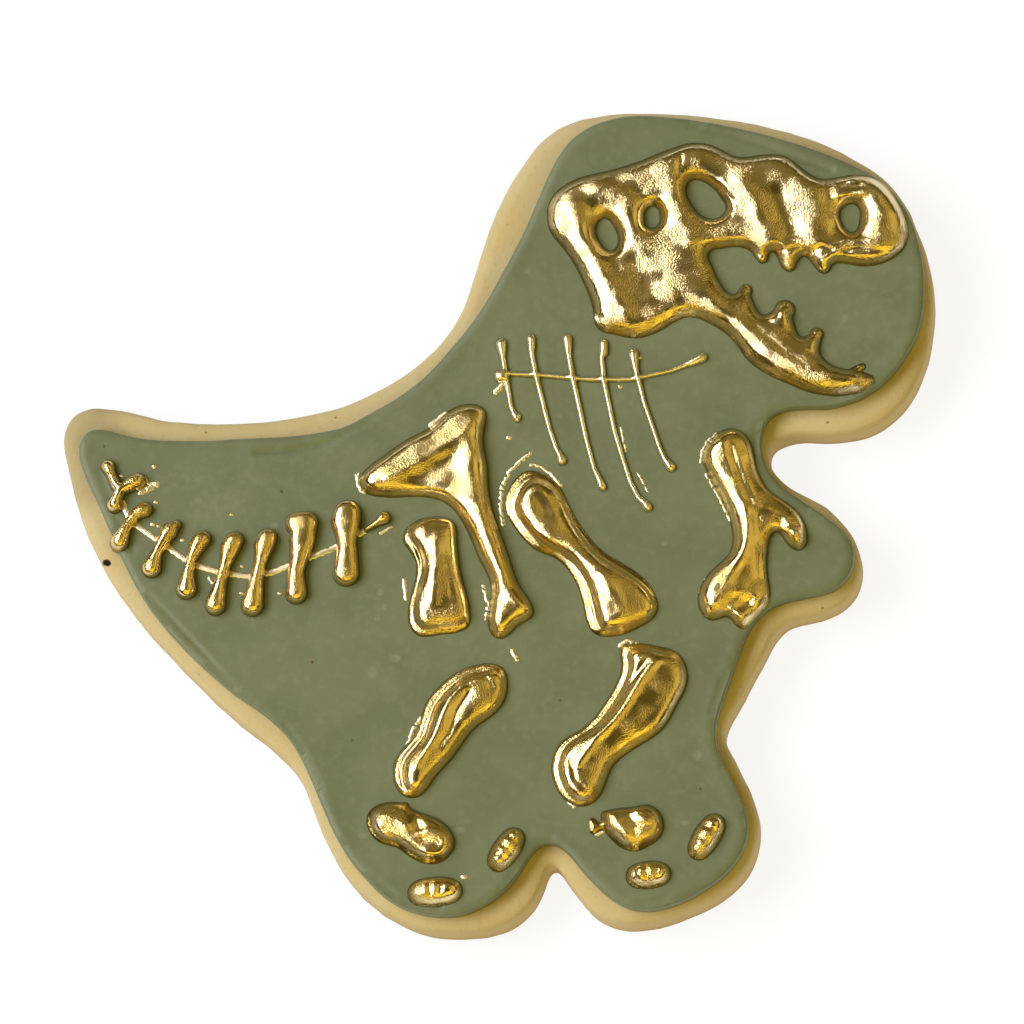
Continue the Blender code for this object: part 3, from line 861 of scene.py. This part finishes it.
def icing_top(x, y, depth):
    """Return the icing's height: level in the middle, raised and rounded at its border."""
    height = np.full(depth.shape, ICING_TOP)
    height += BEAD_HEIGHT * np.exp(-((depth - BEAD_DEPTH) / BEAD_WIDTH) ** 2)
    fade = np.clip(depth / GROOVE_FADE - GROOVE_START, 0, 1)
    for groove_depth, half_width, points in ICING_GROOVES:
        height -= groove_depth * stroke(x, y, half_width, points) * fade
    wave_height, size, seed = ICING_WAVES
    return height + wave_height * unevenness(x, y, size, seed) - edge_drop(depth, ICING_ROUND)


def biscuit_top(x, y, depth):
    """Return the biscuit's height, rounded over at its edge and slightly uneven."""
    wave_height, size, seed = BISCUIT_WAVES
    height = BISCUIT_TOP - edge_drop(depth, BISCUIT_ROUND)
    return height - wave_height * np.abs(unevenness(x, y, size, seed))


def quarter_rings(radius, top, depths):
    """Return rings down a quarter-round edge, from the given depths within the outline."""
    return [(depth, top - float(edge_drop(depth, radius))) for depth in depths]


class Socket:
    """An output in a shader. Where it is a number, Python's operators on it add Math nodes."""

    def __init__(self, shader, link):
        self.shader = shader
        self.link = link

    def maths(self, operation, *values):
        return self.shader.add("ShaderNodeMath", {"operation": operation}, dict(enumerate(values)))

    def __add__(self, other):
        return self.maths("ADD", self, other)

    __radd__ = __add__

    def __mul__(self, other):
        return self.maths("MULTIPLY", self, other)

    __rmul__ = __mul__

    def __sub__(self, other):
        return self.maths("SUBTRACT", self, other)

    def __rsub__(self, other):
        return self.maths("SUBTRACT", other, self)

    def __truediv__(self, other):
        return self.maths("DIVIDE", self, other)

    def clamped(self):
        return self.maths("MINIMUM", self.maths("MAXIMUM", self, 0.0), 1.0)


class Finish:
    """A material that is made node by node around a Principled shader."""

    def __init__(self, name, constants):
        self.material = bpy.data.materials.new(name)
        self.material.use_nodes = True
        self.nodes = self.material.node_tree.nodes
        self.links = self.material.node_tree.links
        self.shader = self.nodes["Principled BSDF"]
        for socket, value in constants.items():
            self.shader.inputs[socket].default_value = value
        self.place = self.add("ShaderNodeTexCoord", output="Object")

    def add(self, kind, settings=None, inputs=None, output=0):
        """Add a node of a kind, with its settings first and its inputs after."""
        node = self.nodes.new(kind)
        for key, value in (settings or {}).items():
            setattr(node, key, value)
        for key, value in (inputs or {}).items():
            if isinstance(value, Socket):
                self.links.new(value.link, node.inputs[key])
            else:
                node.inputs[key].default_value = value
        return Socket(self, node.outputs[output])

    def along(self, axis):
        """Return the place along axis 0, 1 or 2, which is X, Y or Z."""
        return self.add("ShaderNodeSeparateXYZ", None, {0: self.place}, output=axis)

    def grain(self, size, detail=2.0, stretch=(1, 1, 1), turn=0.0):
        """Return noise from 0 to 1 whose lumps have a size in metres, stretched along axes."""
        scaled = self.add(
            "ShaderNodeMapping", {"vector_type": "TEXTURE"},
            {"Vector": self.place, "Rotation": (0, 0, turn),
             "Scale": tuple(size * factor for factor in stretch)},
        )
        return self.add(
            "ShaderNodeTexNoise", None, {"Vector": scaled, "Scale": 1.0, "Detail": detail},
        )

    def cells(self, per_metre):
        """Return the distance from the nearest of many scattered points, in cells."""
        return self.add(
            "ShaderNodeTexVoronoi", {"feature": "F1"},
            {"Vector": self.place, "Scale": per_metre, "Randomness": 1.0}, output="Distance",
        )

    def mix(self, share, first, second):
        """Return a blend of two colours."""
        return self.add(
            "ShaderNodeMix", {"data_type": "RGBA"}, {0: share, 6: first, 7: second}, output=2,
        )

    def band(self, value, start, end):
        """Return 0 where a value is under start and 1 where it is over end, smoothly between."""
        return self.add(
            "ShaderNodeMapRange", {"interpolation_type": "SMOOTHSTEP"},
            {"Value": value, "From Min": start, "From Max": end},
        )

    def spot(self, px, py, half_width, half_height, core):
        """Return 1 near a place on the drawing grid, and 0 outside an oval around it."""
        middle_x, middle_y = drawn(px, py)
        across = (self.along(0) - middle_x) / (half_width * SQUARE)
        up = (self.along(1) - middle_y) / (half_height * SQUARE)
        return 1 - self.band(across * across + up * up, core, SPOT_END)

    def spots(self, places, core):
        """Return the spots at several places as one value."""
        return functools.reduce(
            lambda first, second: first + second, (self.spot(*place, core) for place in places),
        ).clamped()

    def set(self, socket, value):
        self.links.new(value.link, self.shader.inputs[socket])

    def bump(self, height, distance, strength=1.0):
        return self.add(
            "ShaderNodeBump", None,
            {"Height": height, "Distance": distance, "Strength": strength},
        )


# A spot is full inside its core and gone at its end, both as squares of its half widths. Under 0
# the core makes haze, which is full nowhere.
SPOT_CORE = 0.35
HAZE_CORE = -1.2
SPOT_END = 1.4

GOLD = (0.84, 0.66, 0.34, 1.0)
GOLD_DEEP = (0.76, 0.54, 0.16, 1.0)
# A darker copy of the gold for the skull and the loin bone, which paints the shade they show
GOLD_SHADED = (0.74, 0.59, 0.33, 1.0)
GOLD_SHADED_DEEP = (0.60, 0.45, 0.20, 1.0)
# A paler gold for the ribs and smears, which paints the white highlight they show
GOLD_PALE_LIT = (0.96, 0.86, 0.62, 1.0)
# Painted shade round the foot of every bone, where it meets the icing
GOLD_FOOT_SHADE = (0.20, 0.155, 0.03, 1.0)
ICING_GREEN = (0.158, 0.186, 0.108, 1.0)
ICING_PALE = (0.225, 0.258, 0.168, 1.0)
ICING_DARK = (0.140, 0.166, 0.094, 1.0)
DOUGH_PALE = (0.56, 0.475, 0.275, 1.0)
DOUGH_GOLDEN = (0.56, 0.415, 0.185, 1.0)
DOUGH_BAKED_AND_SHADE = (0.36, 0.23, 0.075, 1.0)
DOUGH_SHADED = (0.34, 0.285, 0.165, 1.0)
DOUGH_SPECK = (0.08, 0.04, 0.012, 1.0)
DOUGH_BURNT = (0.010, 0.006, 0.003, 1.0)

# Sizes of the patterns in each finish, and how many cells there are to a metre
GRAIN_CELLS = 1 / 0.00018
STREAK_SIZE = 0.00026
STREAK_STRETCH = (0.6, 2.6, 1)
STREAK_TURN = math.radians(-38)
PATCH_SIZE = 0.0021
MOTTLE_SIZE = 0.006
SUGAR_SIZE = 0.0009
BUBBLE_CELLS = 210.0
BUBBLE_PATCH_SIZE = 0.0045
CRUMB_SIZE = 0.00045
CLOUD_SIZE = 0.007
SPECK_CELLS = 420.0
SPECK_PATCH_SIZE = 0.0028

# Heights between which the dough browns towards its foot, where the darkest band is partly baked
# colour and partly painted shade, and where its marks on top begin
SIDE_LOW = 0.0034
SIDE_HIGH = 0.0066
FOOT_LOW = 0.0006
FOOT_HIGH = 0.0036
MARKS_LOW = 0.0048
MARKS_HIGH = 0.0056


def gold_finish(name, bright, deep, roughness, grain_height, foot_shade_height):
    """Metallic paint brushed on icing: bright, with fine streaks and patches of sparkling grain.

    Near the icing, up to the height given last, the colour darkens towards painted shade at the
    foot of the bone.
    """
    gold = Finish(name, {"Metallic": 1.0})
    grains = gold.cells(GRAIN_CELLS)
    streaks = gold.grain(STREAK_SIZE, 1.0, STREAK_STRETCH, STREAK_TURN)
    patches = gold.grain(PATCH_SIZE, detail=1.0)
    grainy = gold.band(patches, 0.30, 0.70)
    # Painted shade: the colour darkens towards the icing
    foot = 1 - gold.band(gold.along(2), ICING_TOP + 0.1 * foot_shade_height, ICING_TOP + foot_shade_height)
    tone = gold.mix(0.5 * gold.band(patches, 0.35, 0.75), bright, deep)
    gold.set("Base Color", gold.mix(0.85 * foot, tone, GOLD_FOOT_SHADE))
    gold.set("Roughness", roughness + 0.10 * grainy)
    height = grains * (0.25 + 0.75 * grainy) + streaks * (0.10 + 0.35 * grainy)
    gold.set("Normal", gold.bump(height, grain_height))
    return gold.material


# Marks on the photographed cookie, and places where sheen and shade are painted: place on the
# drawing grid, half width and half height
PALE_MARKS = [
    (697, 755, 4.5, 5.5), (845, 318, 3.5, 4.5), (363, 835, 5, 3), (460, 829, 5, 3),
    (395, 658, 6, 4), (380, 592, 3, 4), (384, 606, 3, 3), (377, 618, 3, 3), (664, 543, 4, 3),
    (684, 822, 4, 3), (372, 672, 5, 6),
]
# A pale haze on the icing beside the tail, partly bubbly and partly painted satin sheen
HAZE_AND_SHEEN_MARKS = [(185, 478, 26, 12), (225, 500, 32, 16), (205, 512, 22, 10), (250, 478, 24, 8)]
DARK_MARKS = [
    (281, 491, 1.8, 1.8), (103, 446, 1.4, 1.4), (312, 662, 1.6, 1.6),
    (700, 788, 1.6, 1.6), (352, 740, 1.2, 1.2), (560, 700, 1.2, 1.2),
]
RIM_MARKS = [(103.6, 558.4, 4.4, 3.2), (105.6, 559.8, 3.2, 2.6)]
FAINT_RIM_MARKS = [
    (826.6, 418.4, 1.8, 1.4), (203.6, 428.4, 1.4, 1.2), (333.6, 413.4, 1.4, 1.2),
    (452.6, 315.4, 1.8, 1.4),
]
# Painted shade on the rim beside the tail
SHADED_RIM = [(74, 440, 46, 70)]


def icing_finish():
    """Dried flooded icing: satin, with faint mottling, pale bubbles and pits."""
    sugar = Finish("flooded_icing", {"Specular IOR Level": 0.4})
    mottle = sugar.grain(MOTTLE_SIZE, detail=3.0)
    fine = sugar.grain(SUGAR_SIZE, detail=3.0)
    bubbles = 1 - sugar.band(sugar.cells(BUBBLE_CELLS), 0.05, 0.13)
    bubbles = bubbles * sugar.band(sugar.grain(BUBBLE_PATCH_SIZE, detail=0.0), 0.56, 0.66)
    # Partly bubbly haze, partly painted sheen
    haze_and_sheen = sugar.spots(HAZE_AND_SHEEN_MARKS, HAZE_CORE) * sugar.band(fine, 0.3, 0.6)
    pale = sugar.spots(PALE_MARKS, SPOT_CORE) * sugar.band(fine, 0.2, 0.5)
    tone = sugar.mix(sugar.band(mottle, 0.36, 0.66), ICING_DARK, ICING_GREEN)
    tone = sugar.mix(0.20 * sugar.band(fine, 0.45, 0.70), tone, ICING_PALE)
    tone = sugar.mix(0.38 * haze_and_sheen, tone, ICING_PALE)
    tone = sugar.mix(0.55 * bubbles, tone, ICING_PALE)
    tone = sugar.mix(0.6 * pale, tone, ICING_PALE)
    tone = sugar.mix(0.75 * sugar.spots(DARK_MARKS, SPOT_CORE), tone, DOUGH_SPECK)
    sugar.set("Base Color", tone)
    sugar.set("Roughness", 0.38 + 0.14 * mottle)
    sugar.set("Normal", sugar.bump(fine + 0.7 * bubbles, distance=0.00003, strength=0.35))
    return sugar.material


def dough_finish():
    """Baked dough: dry fine crumb, pale on top and browner down the side and below, where the dark
    foot is partly baked colour and partly painted shade.
    """
    dough = Finish("baked_dough", {"Specular IOR Level": 0.25})
    up = dough.along(2)
    crumb = dough.grain(CRUMB_SIZE, detail=4.0)
    cloud = dough.grain(CLOUD_SIZE, detail=3.0)
    specks = 1 - dough.band(dough.cells(SPECK_CELLS), 0.05, 0.10)
    specks = specks * dough.band(dough.grain(SPECK_PATCH_SIZE, detail=0.0), 0.60, 0.68)
    side = 1 - dough.band(up + 0.0012 * cloud, SIDE_LOW, SIDE_HIGH)
    foot = 1 - dough.band(up + 0.0008 * crumb, FOOT_LOW, FOOT_HIGH)
    on_top = dough.band(up, MARKS_LOW, MARKS_HIGH)
    faint = dough.spots(FAINT_RIM_MARKS, SPOT_CORE) * on_top
    burnt = dough.spots(RIM_MARKS, SPOT_CORE) * on_top
    tone = dough.mix(0.45 * dough.band(cloud, 0.35, 0.7), DOUGH_PALE, DOUGH_GOLDEN)
    tone = dough.mix(0.75 * side, tone, DOUGH_GOLDEN)
    # Towards the foot the colour is partly baked browning and partly painted shade
    tone = dough.mix(0.9 * foot, tone, DOUGH_BAKED_AND_SHADE)
    tone = dough.mix(0.25 * dough.band(crumb, 0.55, 0.8), tone, DOUGH_BAKED_AND_SHADE)
    # Painted shade on the rim beside the tail
    tone = dough.mix(0.55 * dough.spots(SHADED_RIM, SPOT_CORE), tone, DOUGH_SHADED)
    tone = dough.mix(0.6 * specks, tone, DOUGH_SPECK)
    tone = dough.mix(0.6 * faint, tone, DOUGH_SPECK)
    dough.set("Base Color", dough.mix(burnt, tone, DOUGH_BURNT))
    dough.set("Roughness", 0.78 + 0.16 * crumb)
    dough.set("Normal", dough.bump(crumb, distance=0.00012, strength=0.5))
    return dough.material


def dress(piece, material, node):
    """Give a piece its finish, hang it under the root body and hide the solid it stands for."""
    piece.data.materials.append(material)
    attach(piece, "root")
    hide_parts(node)


# Each gold: name, bright and deep colour, roughness, grain height, height of the painted shade at
# its foot
gold = gold_finish("gold_paint", GOLD, GOLD_DEEP, 0.17, 0.00004, 0.00070)
# The skull and the loin bone take the darker gold of painted shade
shaded_gold = gold_finish("gold_paint_shaded", GOLD_SHADED, GOLD_SHADED_DEEP, 0.15, 0.00005, 0.00070)
bead_gold = gold_finish("gold_paint_beads", GOLD, GOLD_DEEP, 0.17, 0.00004, 0.00125)
toe_gold = gold_finish("gold_paint_toes", GOLD, GOLD_DEEP, 0.15, 0.00005, 0.00085)
# The ribs and smears take the paler gold of painted highlight
line_gold = gold_finish("gold_paint_line", GOLD_PALE_LIT, GOLD, 0.26, 0.00003, 0.00034)
smear_gold = gold_finish("gold_paint_thin_lit", GOLD_PALE_LIT, GOLD_PALE_LIT, 0.34, 0.00003, 0.00003)
sugar = icing_finish()
dough = dough_finish()

# Rings down the side of each slab: depths on the rounded edge, then depths with heights
BISCUIT_EDGE = (0.0005, 0.0003, 0.00015, 0.00006, 0.00002)
BISCUIT_SIDE = [
    (0.0, 0.0036), (0.0, 0.0024), (0.00004, 0.0012), (0.00014, 0.0005), (0.0003, 0.00014),
    (0.0006, 0.0),
]
ICING_EDGE = (0.00024, 0.00013, 0.00006, 0.00002)
ICING_SIDE = [(0.0, 0.0074), (0.00004, 0.0067), (0.0001, ICING_FOOT)]

biscuit = slab(
    "biscuit_body", "biscuit", BISCUIT_CUT, BISCUIT_SPACING, biscuit_top,
    quarter_rings(BISCUIT_ROUND, BISCUIT_TOP, BISCUIT_EDGE) + BISCUIT_SIDE,
    wobble=(0.00016, 0.004), seed=5,
)
dress(biscuit, dough, "biscuit")
icing = slab(
    "icing_flood", "icing", ICING_CUT, ICING_SPACING, icing_top,
    quarter_rings(ICING_ROUND, ICING_TOP, ICING_EDGE) + ICING_SIDE,
    wobble=(0.00008, 0.005), seed=9,
)
dress(icing, sugar, "icing")

BONE_FINISHES = {
    "skull": shaded_gold,
    "loin_bone": shaded_gold,
    "ribs": line_gold,
    "tail_bones": bead_gold,
    "rear_toe_front": toe_gold,
    "rear_toe_lower": toe_gold,
    "front_toe_front": toe_gold,
    "front_toe_lower": toe_gold,
    "front_ankle_bone": bead_gold,
    "rear_foot_bone": bead_gold,
}
BONE_SEED = 20
for place, bone_name in enumerate(RELIEF):
    finish = BONE_FINISHES.get(bone_name, gold)
    dress(bone(bone_name, BONE_SEED + place), finish, bone_name)


# Gold that the brush left on the icing, and the thread between the vertebrae, which comes first:
# (raggedness, half width in squares, points)
GOLD_SMEARS = [
    (0.25, 3.4, [(113, 484), (124, 508), (130, 521), (150, 535), (166, 546), (184, 559), (201, 567),
                 (224, 573), (248, 576), (272, 572), (300, 561), (333, 548), (364, 531)]),
    (0.5, 4.2, [(140, 491), (155, 484)]),
    (0.8, 2.2, [(141, 475), (148, 483)]),
    (0.8, 2.0, [(208, 577), (212, 583)]),
    (0.8, 3.0, [(503, 384), (499, 388), (495, 392)]),
    (0.7, 2.4, [(512, 650), (517, 659)]),
    (0.9, 1.5, [(621, 427), (623, 438), (626, 450)]),
    (0.9, 1.4, [(638, 473), (643, 482), (648, 492)]),
    (0.8, 2.6, [(404, 580), (405, 590), (406, 598)]),
    (0.5, 3.0, [(431, 424), (438, 419), (446, 413)]),
    (1.0, 2.4, [(406, 750), (410, 738), (414, 727), (421, 718)]),
    (1.0, 2.4, [(426, 713), (429, 704), (434, 696), (443, 687)]),
    (1.2, 2.0, [(701, 462), (702, 451), (707, 442), (716, 433)]),
    (1.3, 1.6, [(706, 474), (719, 497), (731, 522)]),
    (1.2, 2.0, [(706, 579), (700, 592), (701, 606), (707, 616)]),
    (0.7, 2.2, [(554, 768), (556, 783), (563, 795), (574, 806)]),
    (1.0, 2.4, [(503, 524), (500, 505), (502, 487), (509, 472), (519, 462), (530, 453)]),
    (1.0, 2.2, [(531, 464), (540, 466), (551, 473), (561, 485)]),
    (1.0, 1.8, [(380, 533), (386, 530), (391, 526)]),
    (0.7, 2.4, [(357, 474), (358, 484), (363, 492)]),
    (1.0, 2.0, [(596, 834), (603, 831)]),
    (1.0, 2.4, [(620, 645), (628, 640), (637, 643)]),
    (1.1, 2.2, [(483, 586), (488, 604), (486, 618)]),
]

# Small dots of the same gold: place on the drawing grid and half width
GOLD_DOTS = [
    (153, 466, 2.2), (120, 476, 2.2), (155, 502, 2.2), (152, 524, 2.2), (158, 526, 1.8),
    (182, 540, 2.2), (241, 566, 1.8), (241, 593, 1.8), (279, 593, 1.8), (231, 514, 1.8),
    (509, 437, 2.4), (464, 876, 2.8), (620, 386, 2.0), (640, 357, 2.0),
]
SMEAR_HEIGHT = 0.00009
SMEAR_ROOT = 2.5 * SMEAR_HEIGHT
SMEAR_LUMP = 0.00040
SMEAR_SPACING = 0.00005
SMEAR_SEED = 60
DOT_SEED = 90
DOT_RAGGEDNESS = 0.5
DOT_HALF_LENGTH = 0.6

# The film of a smear is 0 at its edge and less outside it. In the order below: how wide it is, how
# much its edge wanders, how high its middle stands, how steep it is above the icing and below it,
# where it is cut off outside its edge, and how many half widths its grid reaches past its points.
FILM_WIDTH = 0.8
FILM_WANDER = 1.6
FILM_CROWN = 1.15
FILM_WALL = 2.5
FILM_DIP = 2
FILM_CUT = -0.5
FILM_MARGIN = 2.2


def smear(raggedness, half_width, points, seed):
    """Make one flat smear of gold on the icing, with a ragged edge."""
    places = np.array([drawn(*point) for point in points])
    margin = half_width * FILM_MARGIN * SQUARE
    low, high = extent([places], margin)
    piece, order, x, y = grid_over("gold_smear", low, high, SMEAR_SPACING)
    gap = stroke_gap(x, y, half_width, points) ** 2
    film = FILM_WIDTH - gap + raggedness * FILM_WANDER * unevenness(x, y, SMEAR_LUMP, seed)
    skin = np.where(film > 0, np.minimum(FILM_CROWN - gap, film * FILM_WALL), film * FILM_DIP)
    height = np.clip(SMEAR_HEIGHT * skin, -FILM_DIP * SMEAR_HEIGHT, None)
    place_points(piece, order, x, y, ICING_TOP + height)
    delete_points(piece, order, film < FILM_CUT)
    close_below(piece, ICING_TOP - SMEAR_ROOT)
    return piece


def gold_smears():
    """Join all smears and dots of gold into one piece."""
    parts = [
        smear(raggedness, half_width, points, SMEAR_SEED + place)
        for place, (raggedness, half_width, points) in enumerate(GOLD_SMEARS)
    ]
    for place, (px, py, size) in enumerate(GOLD_DOTS):
        ends = [(px - DOT_HALF_LENGTH, py), (px + DOT_HALF_LENGTH, py)]
        parts.append(smear(DOT_RAGGEDNESS, size, ends, DOT_SEED + place))
    pick(parts[0])
    for part in parts:
        part.select_set(True)
    bpy.ops.object.join()
    piece = bpy.context.object
    piece.name = "gold_smears"
    smooth(piece, GOLD_SMOOTH)
    piece.data.materials.append(smear_gold)
    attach(piece, "root")


gold_smears()


# The view of the photograph: nearly from above, from a little below and right of the figure
VIEW_TILT_DOWN = math.radians(11.5)
VIEW_TILT_RIGHT = math.radians(4.5)
VIEW_LENS = 1000.0
VIEW_SENSOR = 36.0
VIEW_WIDTH = 0.11694
VIEW_TARGET = Vector((0.001945, 0.000582, 0.0086))
VIEW_NEAR = 0.1
VIEW_FAR = 50.0


def add_camera():
    towards = Vector((math.tan(VIEW_TILT_RIGHT), -math.tan(VIEW_TILT_DOWN), 1)).normalized()
    data = bpy.data.cameras.new("photo_view")
    data.lens = VIEW_LENS
    data.sensor_width = VIEW_SENSOR
    data.clip_start = VIEW_NEAR
    data.clip_end = VIEW_FAR
    camera = bpy.data.objects.new("photo_view", data)
    camera.location = VIEW_TARGET + towards * (VIEW_WIDTH * VIEW_LENS / VIEW_SENSOR)
    camera.rotation_mode = "QUATERNION"
    camera.rotation_quaternion = Vector((0, 0, 1)).rotation_difference(towards)
    bpy.context.scene.collection.objects.link(camera)
    bpy.context.scene.camera = camera


# Soft area lights: name, azimuth, zenith, distance, width, height, radiance, colour. Azimuth 0 is
# to the right and 90 towards the crown of the head, and zenith 0 is straight above, in degrees.
SOFTBOXES = [
    ("left_light", 173, 41, 1.3, 1.3, 0.62, 7.1, (1.0, 0.985, 0.97)),
    ("left_halo", 173, 38, 1.36, 2.1, 1.35, 0.15, (1.0, 0.95, 0.84)),
    ("lower_light", -78, 50, 1.3, 1.7, 0.9, 1.35, (1.0, 0.76, 0.10)),
    ("right_light", 8, 48, 1.3, 1.3, 1.1, 0.66, (1.0, 0.79, 0.24)),
    ("top_card", 92, 36, 1.3, 1.5, 1.4, 0.12, (1.0, 0.80, 0.34)),
]

# The table, which glows so that it shows as white as the photograph's, and the dim warm room
TABLE_SIZE = 30
TABLE_COLOUR = (0.16, 0.17, 0.19, 1.0)
TABLE_GLOW = 0.86
ROOM_COLOUR = (1.0, 0.80, 0.16, 1.0)
ROOM_STRENGTH = 0.078


def add_softbox(name, azimuth, zenith, distance, width, height, radiance, colour):
    around = math.radians(azimuth)
    down = math.radians(zenith)
    data = bpy.data.lights.new(name, "AREA")
    data.shape = "RECTANGLE"
    data.size = width
    data.size_y = height
    data.energy = radiance * math.pi * width * height
    data.color = colour
    light = bpy.data.objects.new(name, data)
    light.location = (
        distance * math.sin(down) * math.cos(around),
        distance * math.sin(down) * math.sin(around),
        distance * math.cos(down),
    )
    light.rotation_mode = "QUATERNION"
    light.rotation_quaternion = light.location.to_track_quat("Z", "Y")
    bpy.context.scene.collection.objects.link(light)


def add_stage():
    deselect()
    bpy.ops.mesh.primitive_plane_add(size=TABLE_SIZE)
    floor = bpy.context.object
    floor.name = "floor"
    paper = Finish("white_table", {
        "Roughness": 0.95, "Specular IOR Level": 0.0, "Base Color": TABLE_COLOUR,
        "Emission Color": (1.0, 1.0, 1.0, 1.0), "Emission Strength": TABLE_GLOW,
    })
    floor.data.materials.append(paper.material)

    world = bpy.data.worlds.new("studio")
    world.use_nodes = True
    sky = world.node_tree.nodes["Background"]
    sky.inputs["Color"].default_value = ROOM_COLOUR
    sky.inputs["Strength"].default_value = ROOM_STRENGTH
    bpy.context.scene.world = world
    bpy.context.scene.view_settings.view_transform = "Standard"
    for softbox in SOFTBOXES:
        add_softbox(*softbox)


add_camera()
add_stage()
